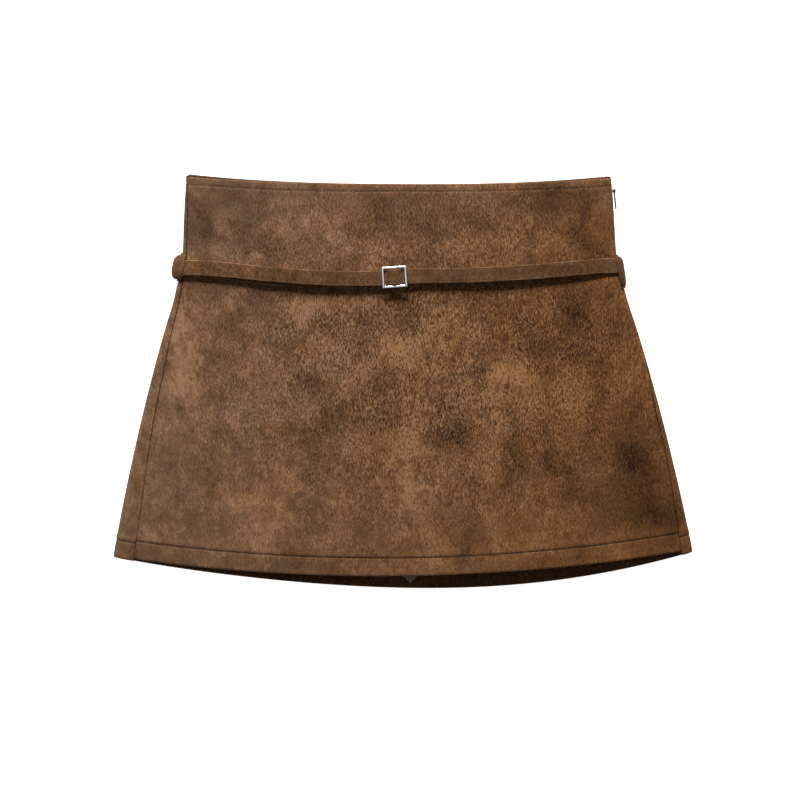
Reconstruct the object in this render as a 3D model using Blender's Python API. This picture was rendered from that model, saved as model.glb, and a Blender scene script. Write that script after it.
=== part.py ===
"""A-line suede mini skort, laid flat on its back panel, with a slide-buckle belt.

Units are metres and +Z is up. +X is the wearer's left, +Y runs from hem to waist, and the
front panel lies on top. The origin is on the floor under the middle of the garment's box.

The cloth is read from one table of cross-sections. A cross-section is a flattened tube: a
flat underside, a round fold at each side and a lofted top. Its outline is measured along
the cloth by `reach`, which is zero at the side fold, positive on top and negative below.
"""

import math
from collections import namedtuple
from functools import lru_cache

import bmesh
import bpy
from mathutils import Matrix, Vector

# ---------------------------------------------------------------------------------------
# Driving dimensions
# ---------------------------------------------------------------------------------------
CLOTH = 0.0014            # one layer of suede
TURNED_CLOTH = 0.0026     # suede with its edge turned in
LINING = 0.0010           # one layer of the shorts
SEAM_GAP = 0.0003         # clearance between neighbouring pieces
STITCH_SINK = 0.00025     # how far a topstitch pulls the cloth in

FRONT_HEM = 0.3264        # waist level to front hem, at the centre
BACK_HEM = 0.3368         # waist level to back hem, at the centre
FRONT_HEM_RISE = 0.0188   # how much higher the front hem is at the side seams
BACK_HEM_RISE = 0.0275
BACK_HEM_SKEW = 0.0027    # the back hem shows lower at the right and higher at the left
SKEW_SPAN = 1.1
HEM_SAG = 0.0005          # the skewed hem's lowest point lies this far under its centre
WAIST_DIP = 0.0062        # how far the front waist edge dips at the centre
WAIST_LIFT = 0.0002       # how far its ends stand over the waist level
BACK_WAIST_DIP = 0.0073
BACK_WAIST_LIFT = 0.0017
WAIST_BEND = 2.5          # how sharply the waist edge bends up near the sides
WAIST_TILT = 0.0029       # the waist edge lies this much askew at each side
WAIST_TURNING = 0.0064    # waist edge to its topstitch
HEM_TURNING = 0.0144      # hem edge to its topstitch
STITCH_SPREAD = 0.0008    # half the width of the trough that a topstitch makes

BELT_WIDTH = 0.0122
BELT_THICK = 0.0018
BELT_LIFT = BELT_THICK + SEAM_GAP    # the back panel arches over the belt's back run

FLARED_TO = 0.3380        # depth of the last cross-section

# Depth below the waist level, and the flattened tube there.
Section = namedtuple("Section", "down half_width fold_height mid_height left_seam right_seam")
SECTIONS = (
    Section(0.000, 0.1738, 0.0060, 0.0064, 0.0025, 0.0003),
    Section(0.030, 0.1761, 0.0062, 0.0070, 0.0049, 0.0003),
    Section(0.065, 0.1777, 0.0064, 0.0078, 0.0053, 0.0003),
    Section(0.095, 0.1842, 0.0066, 0.0086, 0.0066, 0.0003),
    Section(0.125, 0.1934, 0.0068, 0.0094, 0.0085, 0.0003),
    Section(0.155, 0.2020, 0.0070, 0.0101, 0.0106, 0.0018),
    Section(0.195, 0.2125, 0.0073, 0.0110, 0.0128, 0.0064),
    Section(0.235, 0.2220, 0.0076, 0.0118, 0.0154, 0.0072),
    Section(0.275, 0.2307, 0.0079, 0.0126, 0.0184, 0.0099),
    Section(0.308, 0.2370, 0.0082, 0.0132, 0.0197, 0.0118),
    Section(FLARED_TO, 0.2425, 0.0084, 0.0136, 0.0205, 0.0125),
)

# The arch that the back panel makes over the belt's back run.
Lift = namedtuple("Lift", "down height")
LIFTS = (
    Lift(0.000, 0.0), Lift(0.048, 0.0), Lift(0.067, BELT_LIFT),
    Lift(0.084, BELT_LIFT), Lift(0.103, 0.0), Lift(FLARED_TO, 0.0),
)

# The shorts: how wide they lie, and where the legs part.
CROTCH = 0.245
LEG_HEM = 0.285
LEG_PARTING = 0.200       # the rise starts to narrow towards the crotch here
LEG_SPREAD = 0.0090       # half the gap between the legs at their hems
Width = namedtuple("Width", "down half_width")
SHORTS_SIDE = (
    Width(0.000, 0.1660), Width(0.060, 0.1690), Width(0.120, 0.1800),
    Width(0.180, 0.1900), Width(0.240, 0.1960), Width(LEG_HEM, 0.1990),
)

# The belt's centre line, from its free end at the left, through the buckle, round the
# right side, along the floor and back over the left side to the buckle.
Stop = namedtuple("Stop", "x down z steps")
BUCKLE_X = -0.0043
BUCKLE_DOWN = 0.0826
BUCKLE_FLOOR = 0.0156     # the frame's underside
BUCKLE_WIDE = 0.0210
BUCKLE_HIGH = 0.0175
BUCKLE_TURN = math.radians(3.4)   # it lies a little askew on the sagging belt
BUCKLE_SIDE = 0.0025      # width of the frame's side rails
BUCKLE_BAR = 0.0019       # width of its upper and lower rails
BUCKLE_DEPTH = 0.0020     # height of the frame's rails
CENTRE_BAR = 0.0012       # the middle bar is this wide and this high
BUCKLE_ROUND = 0.0009     # corner radius outside
BAR_INSET = 0.0001        # the middle bar's underside lies this far above the frame's
BELT_DROP = 0.0827        # the belt's middle, at the buckle
LAYER = BELT_THICK + SEAM_GAP
UNDER_BAR = BUCKLE_FLOOR - SEAM_GAP - BELT_THICK / 2.0
OVER_BAR = BUCKLE_FLOOR + CENTRE_BAR + SEAM_GAP + BELT_THICK / 2.0
ON_FLOOR = BELT_THICK / 2.0
BELT_FLARE = 0.19         # at the sides the belt leans with the flare of the skirt
BELT_TURNS_AT = 0.1700    # and only past here

# The side loops that carry the belt: their middle, half length, reach past the side, and
# how round they stand (1 is an ellipse, less is squarer).
Carrier = namedtuple("Carrier", "name side down half_length reach roundness lean")
CARRIERS = (
    Carrier("belt_loop_left", -1.0, 0.0718, 0.0096, 0.0062, 0.8, 0.0),
    Carrier("belt_loop_right", 1.0, 0.0797, 0.0118, 0.0029, 0.7, 0.12),
)
CARRIER_THICK = 0.0011
CARRIER_FLOOR = 0.0012
CARRIER_TOP = 0.0092
CARRIER_TAIL = 0.0018     # the sewn-down end past the bulge

# The side zip: a closed chain in the right-hand seam, its slider and its pull.
ZIP_TOP = 0.0115
ZIP_END = 0.1750
CHAIN_THICK = 0.0008
CHAIN_HALF = 0.0005
PULL_DOWN = 0.0136        # the pull's hinge, below the waist level
PULL_LENGTH = 0.0150
PULL_THICK = 0.0010
PULL_HALF = 0.0020
NECK_HALF = 0.0011
NECK_LENGTH = 0.0045
NECK_FLARE = 0.0015       # the neck widens to the grip over this length
PULL_STEPS = 6            # faces round a quarter of the pull's end
PULL_LEAN = math.radians(5.0)     # it leans out along the flaring side
SLIDER_PLATE = 0.0006
SLIDER_HALF = 0.0013      # half its length along the seam
LUG_THICK = 0.0008
LUG_REACH = 0.0020

# The care label: where its free corner lies, its sides and its turn.
LABEL_TIP = (0.0058, 0.3330)
LABEL_WIDE = 0.0220
LABEL_LONG = 0.0450
LABEL_THICK = 0.0010
LABEL_TURN = math.radians(45.0)

# The box runs from the back's higher waist corner to the lowest point of the back hem.
BOX_TOP = -WAIST_TILT - BACK_WAIST_LIFT
MIDDLE = (BACK_HEM + HEM_SAG + BOX_TOP) / 2.0

Finish = namedtuple("Finish", "colour roughness metallic")
SUEDE = Finish((0.155, 0.078, 0.037), 0.95, 0.0)
SUEDE_BELT = Finish((0.165, 0.085, 0.042), 0.95, 0.0)
LINING_CLOTH = Finish((0.045, 0.026, 0.016), 0.85, 0.0)
STEEL = Finish((0.78, 0.78, 0.80), 0.18, 1.0)
DARK_METAL = Finish((0.035, 0.026, 0.022), 0.40, 0.8)
LABEL_CLOTH = Finish((0.62, 0.60, 0.58), 0.80, 0.0)


# ---------------------------------------------------------------------------------------
# Smooth curves through a few values
# ---------------------------------------------------------------------------------------
class Smooth:
    """A curve through given values that never overshoots them."""

    def __init__(self, places, values):
        self.places = places
        self.values = values
        self.slopes = self._slopes()

    def _slopes(self):
        rises = [
            (v1 - v0) / (p1 - p0)
            for p0, p1, v0, v1 in zip(self.places, self.places[1:], self.values, self.values[1:])
        ]
        slopes = [rises[0]]
        for before, after in zip(rises, rises[1:]):
            level = before * after <= 0.0
            slopes.append(0.0 if level else 2.0 * before * after / (before + after))
        slopes.append(rises[-1])
        return slopes

    def at(self, place):
        """The curve's value at a place, held level past its ends."""
        if place <= self.places[0]:
            return self.values[0]
        if place >= self.places[-1]:
            return self.values[-1]
        k = max(i for i, p in enumerate(self.places) if p <= place)
        span = self.places[k + 1] - self.places[k]
        t = (place - self.places[k]) / span
        rest = 1.0 - t
        ends = self.values[k] * rest * rest * (1 + 2 * t) + self.values[k + 1] * t * t * (3 - 2 * t)
        turns = self.slopes[k] * rest * rest * t - self.slopes[k + 1] * t * t * rest
        return ends + span * turns


def column(rows, name):
    """The smooth curve of one named column against depth."""
    return Smooth([row.down for row in rows], [getattr(row, name) for row in rows])


HALF_WIDTH = column(SECTIONS, "half_width")
FOLD_HEIGHT = column(SECTIONS, "fold_height")
MID_HEIGHT = column(SECTIONS, "mid_height")
LEFT_SEAM = column(SECTIONS, "left_seam")
RIGHT_SEAM = column(SECTIONS, "right_seam")
LIFT = column(LIFTS, "height")
SHORTS_HALF = column(SHORTS_SIDE, "half_width")


def place(x, down, z):
    """A point in the part's frame from its depth below the waist level."""
    return Vector((x, MIDDLE - down, z))


# ---------------------------------------------------------------------------------------
# The cloth's cross-section
# ---------------------------------------------------------------------------------------
@lru_cache(maxsize=None)
def tube(down):
    """Half width, fold radius, underside height and loft at one depth."""
    fold = FOLD_HEIGHT.at(down) / 2.0
    loft = MID_HEIGHT.at(down) - FOLD_HEIGHT.at(down)
    return HALF_WIDTH.at(down), fold, LIFT.at(down), loft


def lofted(x, down):
    """How far the top rises over the side folds, at one place across."""
    half, fold, _, loft = tube(down)
    share = min(1.0, abs(x) / (half - fold))
    return loft * (1.0 - share ** 3)


def half_round(down):
    """Length of cloth from the side fold to where the top or the underside starts."""
    return math.pi * tube(down)[1] / 2.0


def to_middle(down):
    """Length of cloth from the side fold to the centre line."""
    half, fold, _, _ = tube(down)
    return half - fold + half_round(down)


def skin(side, reach, down, depth):
    """A point of the cloth, `reach` from the side fold and `depth` under its outer face."""
    half, fold, lift, loft = tube(down)
    quarter = half_round(down)
    middle = lift + fold
    if abs(reach) <= quarter:
        turn = reach / fold
        inner = fold - depth
        x = half - fold + inner * math.cos(turn)
        return place(side * x, down, middle + inner * math.sin(turn))
    x = half - fold - (abs(reach) - quarter)
    if reach < 0.0:
        return place(side * x, down, lift + depth)
    top = lift + 2.0 * fold + lofted(x, down)
    return place(side * x, down, top - depth)


# ---------------------------------------------------------------------------------------
# Meshes
# ---------------------------------------------------------------------------------------
def finish_material(name, finish):
    material = bpy.data.materials.new(name)
    material.use_nodes = True
    shader = material.node_tree.nodes["Principled BSDF"]
    shader.inputs["Base Color"].default_value = (*finish.colour, 1.0)
    shader.inputs["Roughness"].default_value = finish.roughness
    shader.inputs["Metallic"].default_value = finish.metallic
    return material


def make_object(name, bm, finish, smooth=True):
    """An object from a closed bmesh, its faces turned outwards."""
    bmesh.ops.recalc_face_normals(bm, faces=bm.faces)
    mesh = bpy.data.meshes.new(name)
    bm.to_mesh(mesh)
    bm.free()
    if smooth:
        mesh.shade_smooth()
        mesh.set_sharp_from_angle(angle=math.radians(40.0))
    obj = bpy.data.objects.new(name, mesh)
    bpy.context.scene.collection.objects.link(obj)
    mesh.materials.append(finish_material(name, finish))
    return obj


def wall(name, outer, inner, finish):
    """A closed wall between two grids of points with the same rows and columns."""
    bm = bmesh.new()
    sheets = [[[bm.verts.new(p) for p in row] for row in grid] for grid in (outer, inner)]
    rows, columns = len(outer), len(outer[0])
    for sheet in sheets:
        for r in range(rows - 1):
            for c in range(columns - 1):
                corners = (sheet[r][c], sheet[r][c + 1], sheet[r + 1][c + 1], sheet[r + 1][c])
                bm.faces.new(corners)
    rim = [(0, c) for c in range(columns)]
    rim += [(r, columns - 1) for r in range(1, rows)]
    rim += [(rows - 1, c) for c in range(columns - 2, -1, -1)]
    rim += [(r, 0) for r in range(rows - 2, 0, -1)]
    top, bottom = sheets
    for (r0, c0), (r1, c1) in zip(rim, rim[1:] + rim[:1]):
        bm.faces.new((top[r0][c0], top[r1][c1], bottom[r1][c1], bottom[r0][c0]))
    return make_object(name, bm, finish)


def ribbon(name, path, normals, widths, thick, finish):
    """A closed strip along a path: `widths` are half-width vectors, one for each point."""
    bm = bmesh.new()
    rings = []
    for point, normal, width in zip(path, normals, widths):
        up = normal * thick / 2.0
        corners = (point + width + up, point - width + up, point - width - up, point + width - up)
        rings.append([bm.verts.new(corner) for corner in corners])
    for ring, after in zip(rings, rings[1:]):
        for k in range(4):
            bm.faces.new((ring[k], ring[(k + 1) % 4], after[(k + 1) % 4], after[k]))
    bm.faces.new(rings[0])
    bm.faces.new(rings[-1])
    return make_object(name, bm, finish)


def plate(name, outline, way, finish):
    """A closed plate: a flat outline of points, extruded by a vector."""
    bm = bmesh.new()
    lower = [bm.verts.new(p) for p in outline]
    upper = [bm.verts.new(p + way) for p in outline]
    bm.faces.new(lower)
    bm.faces.new(upper)
    for k in range(len(outline)):
        after = (k + 1) % len(outline)
        bm.faces.new((lower[k], lower[after], upper[after], upper[k]))
    return make_object(name, bm, finish, smooth=False)


def path_normals(path, width_way):
    """Unit normals along a path, square to it and to the strip's width."""
    normals = []
    for k, point in enumerate(path):
        before = path[max(0, k - 1)]
        after = path[min(len(path) - 1, k + 1)]
        normals.append((after - before).cross(width_way).normalized())
    return normals


# ---------------------------------------------------------------------------------------
# Front and back panels
# ---------------------------------------------------------------------------------------
# A row of a panel's grid: measured from the waist edge, from the corners or from the hem.
Row = namedtuple("Row", "kind measure depth sink")
LEVELS = (0.028, 0.048, 0.056, 0.067, 0.084, 0.095, 0.103, 0.125, 0.150, 0.175, 0.200,
          0.225, 0.250, 0.275)


def panel_rows(sink):
    """Rows from waist to hem, with the turned edges and the topstitch troughs."""
    rows = [
        Row("waist", 0.0, TURNED_CLOTH, 0.0),
        Row("waist", WAIST_TURNING - STITCH_SPREAD, TURNED_CLOTH, 0.0),
        Row("waist", WAIST_TURNING, CLOTH, sink),
        Row("waist", WAIST_TURNING + STITCH_SPREAD, CLOTH, 0.0),
    ]
    rows += [Row("level", level, CLOTH, 0.0) for level in LEVELS]
    rows += [
        Row("hem", HEM_TURNING + STITCH_SPREAD, CLOTH, 0.0),
        Row("hem", HEM_TURNING, CLOTH, sink),
        Row("hem", HEM_TURNING - STITCH_SPREAD, TURNED_CLOTH, 0.0),
        Row("hem", HEM_TURNING / 2.0, TURNED_CLOTH, 0.0),
        Row("hem", 0.0, TURNED_CLOTH, 0.0),
    ]
    return rows


# The edges of a panel: its waist's dip and lift, and its hem's depth, rise and skew.
Cut = namedtuple("Cut", "dip lift hem rise skew")
FRONT_CUT = Cut(WAIST_DIP, WAIST_LIFT, FRONT_HEM, FRONT_HEM_RISE, 0.0)
BACK_CUT = Cut(BACK_WAIST_DIP, BACK_WAIST_LIFT, BACK_HEM, BACK_HEM_RISE, BACK_HEM_SKEW)


def waist_edge(share, cut):
    """Depth of the waist edge; `share` runs from -1 at the left side to 1 at the right."""
    return cut.dip * (1.0 - abs(share) ** WAIST_BEND) + WAIST_TILT * share - cut.lift


def hem_edge(share, cut):
    """Depth of the hem edge at the same places."""
    return cut.hem - cut.rise * share * share + cut.skew * math.sin(math.pi * share / SKEW_SPAN)


def row_depth(row, share, cut):
    """Depth of one grid point below the waist level."""
    if row.kind == "waist":
        return waist_edge(share, cut) + row.measure
    if row.kind == "hem":
        return hem_edge(share, cut) - row.measure
    return row.measure


def seam_reach(side, down):
    """How far on top of the side fold the side seam lies."""
    return (LEFT_SEAM if side < 0.0 else RIGHT_SEAM).at(down)


def steps(start, end, count):
    """Evenly spaced values from start to end, without the last."""
    return [start + (end - start) * k / count for k in range(count)]


FRONT_FLAT_COLUMNS = 10
FRONT_FOLD_COLUMNS = 4
FOLD_MARGIN = 0.006       # the close columns start this far inside the fold or the seam


def front_reaches(side, down):
    """Places across one half of the front panel, from the middle to the seam."""
    seam = seam_reach(side, down) + SEAM_GAP / 2.0
    close = max(half_round(down), seam) + FOLD_MARGIN
    flat = steps(to_middle(down), close, FRONT_FLAT_COLUMNS)
    return flat + steps(close, seam, FRONT_FOLD_COLUMNS) + [seam]


BACK_FLAT_COLUMNS = 6
BACK_FOLD_COLUMNS = 9


def back_reaches(side, down):
    """Places across one half of the back panel, from the middle round to the seam."""
    seam = seam_reach(side, down) - SEAM_GAP / 2.0
    quarter = half_round(down)
    flat = steps(-to_middle(down), -quarter, BACK_FLAT_COLUMNS)
    return flat + steps(-quarter, seam, BACK_FOLD_COLUMNS) + [seam]


def panel(name, reaches, cut, sink):
    """One skirt panel from its rows and from its places across each half."""
    outer, inner = [], []
    for row in panel_rows(sink):
        faces = []
        for depth in (row.sink, row.depth):
            line = []
            for side in (-1.0, 1.0):
                half_line = []
                count = len(reaches(side, 0.0))
                for k in range(count):
                    share = side * panel_share(reaches, side, k)
                    down = row_depth(row, share, cut)
                    half_line.append(skin(side, reaches(side, down)[k], down, depth))
                line += half_line[::-1][:-1] if side < 0.0 else half_line
            faces.append(line)
        outer.append(faces[0])
        inner.append(faces[1])
    return wall(name, outer, inner, SUEDE)


@lru_cache(maxsize=None)
def panel_share(reaches, side, k):
    """How far out a column lies, from 0 at the centre to 1 at the side fold."""
    down = SECTIONS[-2].down
    half, _, _, _ = tube(down)
    return min(1.0, abs(skin(side, reaches(side, down)[k], down, 0.0).x) / half)


# ---------------------------------------------------------------------------------------
# Inner shorts
# ---------------------------------------------------------------------------------------
SHORTS_TOP = WAIST_TURNING + STITCH_SPREAD + SEAM_GAP
SHORTS_LEVELS = (0.030, 0.048, 0.057, 0.067, 0.084, 0.095, 0.103, 0.130, 0.165, LEG_PARTING,
                 0.215, 0.230, CROTCH, 0.265, LEG_HEM)
SHORTS_COLUMNS = 12
SIDE_PRESS = 12.0         # how sharply the shorts are pressed flat at the side seam
LEG_PRESS = 4.0           # and across a leg
SHORTS_LOFT = 0.92        # the front layer hangs a little clear of the skirt


def inseam(down):
    """Half the gap between the legs, or half a seam's gap above the crotch."""
    if down <= CROTCH:
        return SEAM_GAP / 2.0
    share = (down - CROTCH) / (LEG_HEM - CROTCH)
    return SEAM_GAP / 2.0 + (LEG_SPREAD - SEAM_GAP / 2.0) * share ** 0.7


def ease(value):
    """A smooth step from 0 to 1."""
    value = min(1.0, max(0.0, value))
    return value * value * (3.0 - 2.0 * value)


def pressed(x, down):
    """How open the shorts lie: 1 in the middle of a leg, 0 at the pressed seams."""
    side = SHORTS_HALF.at(down)
    inner = inseam(down)
    whole = 1.0 - min(1.0, x / side) ** SIDE_PRESS
    across = abs(2.0 * (x - inner) / (side - inner) - 1.0)
    leg = 1.0 - min(1.0, across) ** LEG_PRESS
    parted = ease((down - LEG_PARTING) / (CROTCH - LEG_PARTING))
    return whole + (min(whole, leg) - whole) * parted


def shorts_heights(x, down):
    """Facing heights of the front and the back layer of the shorts."""
    _, fold, lift, _ = tube(down)
    middle = lift + fold
    layers = CLOTH + SEAM_GAP + LINING + SEAM_GAP / 2.0
    opened = pressed(x, down)
    over = (fold - layers + lofted(x, down)) * opened * SHORTS_LOFT
    under = (fold - layers) * opened
    return middle + SEAM_GAP / 2.0 + over, middle - SEAM_GAP / 2.0 - under


def shorts_panel(name, side, front):
    """A quarter of the shorts: a lining layer between its side seam and the middle."""
    outer, inner = [], []
    for level in (None, *SHORTS_LEVELS):
        outer_line, inner_line = [], []
        for k in range(SHORTS_COLUMNS + 1):
            share = 0.5 - 0.5 * math.cos(math.pi * k / SHORTS_COLUMNS)
            down = level
            if level is None:
                across = side * share * SHORTS_HALF.at(0.0) / HALF_WIDTH.at(0.0)
                down = waist_edge(across, FRONT_CUT) + SHORTS_TOP
            x = inseam(down) + (SHORTS_HALF.at(down) - inseam(down)) * share
            over, under = shorts_heights(x, down)
            inner_line.append(place(side * x, down, over if front else under))
            outer_line.append(place(side * x, down, over + LINING if front else under - LINING))
        outer.append(outer_line)
        inner.append(inner_line)
    return wall(name, outer, inner, LINING_CLOTH)


# ---------------------------------------------------------------------------------------
# Belt, loops and buckle
# ---------------------------------------------------------------------------------------
def belt_at_buckle(x):
    """Depth of the belt's middle near the buckle, which leans the same way."""
    return BELT_DROP - math.tan(BUCKLE_TURN) * (x - BUCKLE_X)


def belt_stops():
    """The belt's stops, in order from its free end to its end at the buckle."""
    bar = BUCKLE_WIDE / 2.0 - BUCKLE_SIDE
    left_out, left_in = BUCKLE_X - bar - 0.0050, BUCKLE_X - bar + 0.0010
    right_in, right_out = BUCKLE_X + bar - 0.0010, BUCKLE_X + bar + 0.0050
    upper_left = (
        Stop(-0.1800, 0.0727, 0.0114, 2), Stop(-0.1740, 0.0728, 0.0125, 2),
        Stop(-0.1660, 0.0730, 0.0132, 3), Stop(-0.1500, 0.0742, 0.0141, 4),
        Stop(-0.1000, 0.0796, 0.0150, 4), Stop(-0.0500, 0.0831, 0.0146, 3),
    )
    over_left, over_right = BUCKLE_X - 0.0012, BUCKLE_X + 0.0012
    through_buckle = (
        Stop(left_out, belt_at_buckle(left_out), UNDER_BAR, 2),
        Stop(left_in, belt_at_buckle(left_in), UNDER_BAR, 6),
        Stop(over_left, belt_at_buckle(over_left), OVER_BAR, 2),
        Stop(over_right, belt_at_buckle(over_right), OVER_BAR, 6),
        Stop(right_in, belt_at_buckle(right_in), UNDER_BAR, 2),
        Stop(right_out, belt_at_buckle(right_out), UNDER_BAR, 3),
    )
    right = (
        Stop(0.0500, 0.0818, 0.0142, 4), Stop(0.1000, 0.0801, 0.0144, 4),
        Stop(0.1500, 0.0766, 0.0129, 3), Stop(0.1680, 0.0752, 0.0112, 2),
        Stop(0.1768, 0.0752, 0.0103, 2), Stop(0.1798, 0.0759, 0.0088, 2),
        Stop(0.1814, 0.0766, 0.0054, 2), Stop(0.1802, 0.0770, 0.0021, 2),
        Stop(0.1768, 0.0772, ON_FLOOR, 2), Stop(0.1680, 0.0771, ON_FLOOR, 2),
    )
    floor = (
        Stop(0.1500, 0.0770, ON_FLOOR, 6), Stop(-0.1500, 0.0745, ON_FLOOR, 2),
        Stop(-0.1680, 0.0742, ON_FLOOR, 2),
    )
    lower_left = (
        Stop(-0.1764, 0.0738, ON_FLOOR, 2), Stop(-0.1796, 0.0734, 0.0015, 2),
        Stop(-0.1819, 0.0731, 0.0032, 2), Stop(-0.1828, 0.0730, 0.0054, 2),
        Stop(-0.1814, 0.0730, 0.0081, 2), Stop(-0.1765, 0.0733, 0.0099, 2),
        Stop(-0.1680, 0.0738, 0.0105, 3), Stop(-0.1500, 0.0757, 0.0116, 4),
        Stop(-0.1000, 0.0825, 0.0127, 4), Stop(-0.0500, 0.0843, 0.0124, 3),
        Stop(left_out, belt_at_buckle(left_out), UNDER_BAR - LAYER, 2),
        Stop(left_in, belt_at_buckle(left_in), UNDER_BAR - LAYER, 3),
        Stop(BUCKLE_X, BELT_DROP, UNDER_BAR - SEAM_GAP, 1),
    )
    return upper_left + through_buckle + right + floor + lower_left


def smooth_path(stops):
    """Points on one smooth curve through the stops, each span cut into its steps."""
    points = [Vector((stop.x, stop.down, stop.z)) for stop in stops]
    runs = [0.0]
    for before, after in zip(points, points[1:]):
        runs.append(runs[-1] + (after - before).length)
    curves = [Smooth(runs, [point[axis] for point in points]) for axis in range(3)]
    places = []
    for k, stop in enumerate(stops[:-1]):
        places += steps(runs[k], runs[k + 1], stop.steps)
    places.append(runs[-1])
    return [place(*(curve.at(run) for curve in curves)) for run in places]


def belt_strap():
    """The strap, its width along +Y on top and below, and along the flare at the sides."""
    path = smooth_path(belt_stops())
    across = Vector((0.0, 1.0, 0.0))
    flat_path = [Vector((point.x, 0.0, point.z)) for point in path]
    widths, normals = [], []
    for point, normal in zip(path, path_normals(flat_path, across)):
        lean = -math.copysign(BELT_FLARE * abs(normal.x), point.x)
        if abs(point.x) < BELT_TURNS_AT:
            lean = 0.0
        width = Vector((lean, 1.0, 0.0)).normalized()
        widths.append(width * BELT_WIDTH / 2.0)
        normals.append((normal - width * normal.dot(width)).normalized())
    return ribbon("belt_strap", path, normals, widths, BELT_THICK, SUEDE_BELT)


CARRIER_STEPS = 14


def belt_loop(carrier):
    """A loop that stands round the belt at the side and is sewn down above and below it."""
    flat = SEAM_GAP + CARRIER_THICK / 2.0
    offsets = [(-carrier.half_length - CARRIER_TAIL, 0.0)]
    for k in range(CARRIER_STEPS + 1):
        turn = math.pi * k / CARRIER_STEPS
        along = -math.copysign(abs(math.cos(turn)) ** carrier.roundness, math.cos(turn))
        out = abs(math.sin(turn)) ** carrier.roundness
        along *= carrier.half_length
        offsets.append((along, (carrier.reach - carrier.lean * along) * out))
    offsets.append((carrier.half_length + CARRIER_TAIL, 0.0))
    middle = (CARRIER_FLOOR + CARRIER_TOP) / 2.0
    path = []
    for along, out in offsets:
        down = carrier.down + along
        path.append(place(carrier.side * (HALF_WIDTH.at(down) + flat + out), down, middle))
    width = Vector((0.0, 0.0, (CARRIER_TOP - CARRIER_FLOOR) / 2.0))
    normals = path_normals(path, width)
    return ribbon(carrier.name, path, normals, [width] * len(path), CARRIER_THICK, SUEDE_BELT)


CORNER_STEPS = 4


def rounded_rectangle(wide, high, radius):
    """Corner arcs of a rectangle about its middle, anticlockwise."""
    points = []
    for quarter in range(4):
        sign_x = 1.0 if quarter in (0, 3) else -1.0
        sign_y = 1.0 if quarter in (0, 1) else -1.0
        centre = Vector((sign_x * (wide / 2.0 - radius), sign_y * (high / 2.0 - radius), 0.0))
        for k in range(CORNER_STEPS + 1):
            turn = math.pi / 2.0 * (quarter + k / CORNER_STEPS)
            points.append(centre + radius * Vector((math.cos(turn), math.sin(turn), 0.0)))
    return points


def buckle():
    """A square frame with a low bar across its middle."""
    bm = bmesh.new()
    base = place(BUCKLE_X, BUCKLE_DOWN, BUCKLE_FLOOR)
    turned = Matrix.Rotation(BUCKLE_TURN, 3, "Z")
    outer = rounded_rectangle(BUCKLE_WIDE, BUCKLE_HIGH, BUCKLE_ROUND)
    inner_wide = BUCKLE_WIDE - 2.0 * BUCKLE_SIDE
    inner_high = BUCKLE_HIGH - 2.0 * BUCKLE_BAR
    inner = rounded_rectangle(inner_wide, inner_high, BUCKLE_ROUND / 3.0)
    raise_by = Vector((0.0, 0.0, BUCKLE_DEPTH))
    loops = []
    for outline in (outer, inner):
        for lift in (Vector(), raise_by):
            loops.append([bm.verts.new(base + turned @ point + lift) for point in outline])
    outer_low, outer_top, inner_low, inner_top = loops
    for one, other in ((outer_low, outer_top), (outer_top, inner_top),
                       (inner_top, inner_low), (inner_low, outer_low)):
        for k in range(len(one)):
            after = (k + 1) % len(one)
            bm.faces.new((one[k], one[after], other[after], other[k]))
    frame = make_object("buckle", bm, STEEL)

    half_wide = CENTRE_BAR / 2.0
    half_high = (inner_high + BUCKLE_BAR) / 2.0
    corners = [
        base + turned @ Vector((sx * half_wide, sy * half_high, BAR_INSET))
        for sx, sy in ((-1, -1), (1, -1), (1, 1), (-1, 1))
    ]
    bar = plate("buckle_centre_bar", corners, Vector((0.0, 0.0, CENTRE_BAR - BAR_INSET)), STEEL)
    bar.hide_render = True
    bar.display_type = "WIRE"
    joined = frame.modifiers.new("centre bar", "BOOLEAN")
    joined.operation = "UNION"
    joined.object = bar
    return frame


# ---------------------------------------------------------------------------------------
# Side zip
# ---------------------------------------------------------------------------------------
CHAIN_STEPS = 12


def zip_chain():
    """The closed coil, lying inside the right-hand side fold."""
    path = []
    for k in range(CHAIN_STEPS + 1):
        down = ZIP_TOP + (ZIP_END - ZIP_TOP) * k / CHAIN_STEPS
        half, fold, lift, _ = tube(down)
        x = half - CLOTH - 2.0 * SEAM_GAP - CHAIN_THICK / 2.0
        path.append(place(x, down, lift + fold))
    width = Vector((0.0, 0.0, CHAIN_HALF))
    normals = path_normals(path, width)
    return ribbon("zip_chain", path, normals, [width] * len(path), CHAIN_THICK, DARK_METAL)


def pull_axis():
    """A point on the pull's hinge axis, which runs along +Z."""
    half, fold, lift, _ = tube(PULL_DOWN)
    out = SEAM_GAP + SLIDER_PLATE + SEAM_GAP + PULL_THICK / 2.0
    return place(half + out, PULL_DOWN, lift + fold)


def zip_slider():
    """A channel on the seam whose two lugs stand either side of the pull."""
    axis = pull_axis()
    back = -(PULL_THICK / 2.0 + SEAM_GAP + SLIDER_PLATE)
    face = back + SLIDER_PLATE
    inside = NECK_HALF + SEAM_GAP
    outside = inside + LUG_THICK
    tip = face + LUG_REACH
    profile = ((back, -outside), (tip, -outside), (tip, -inside), (face, -inside),
               (face, inside), (tip, inside), (tip, outside), (back, outside))
    outline = [axis + Vector((x, -SLIDER_HALF, z)) for x, z in profile]
    return plate("zip_slider", outline, Vector((0.0, 2.0 * SLIDER_HALF, 0.0)), DARK_METAL)


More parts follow.
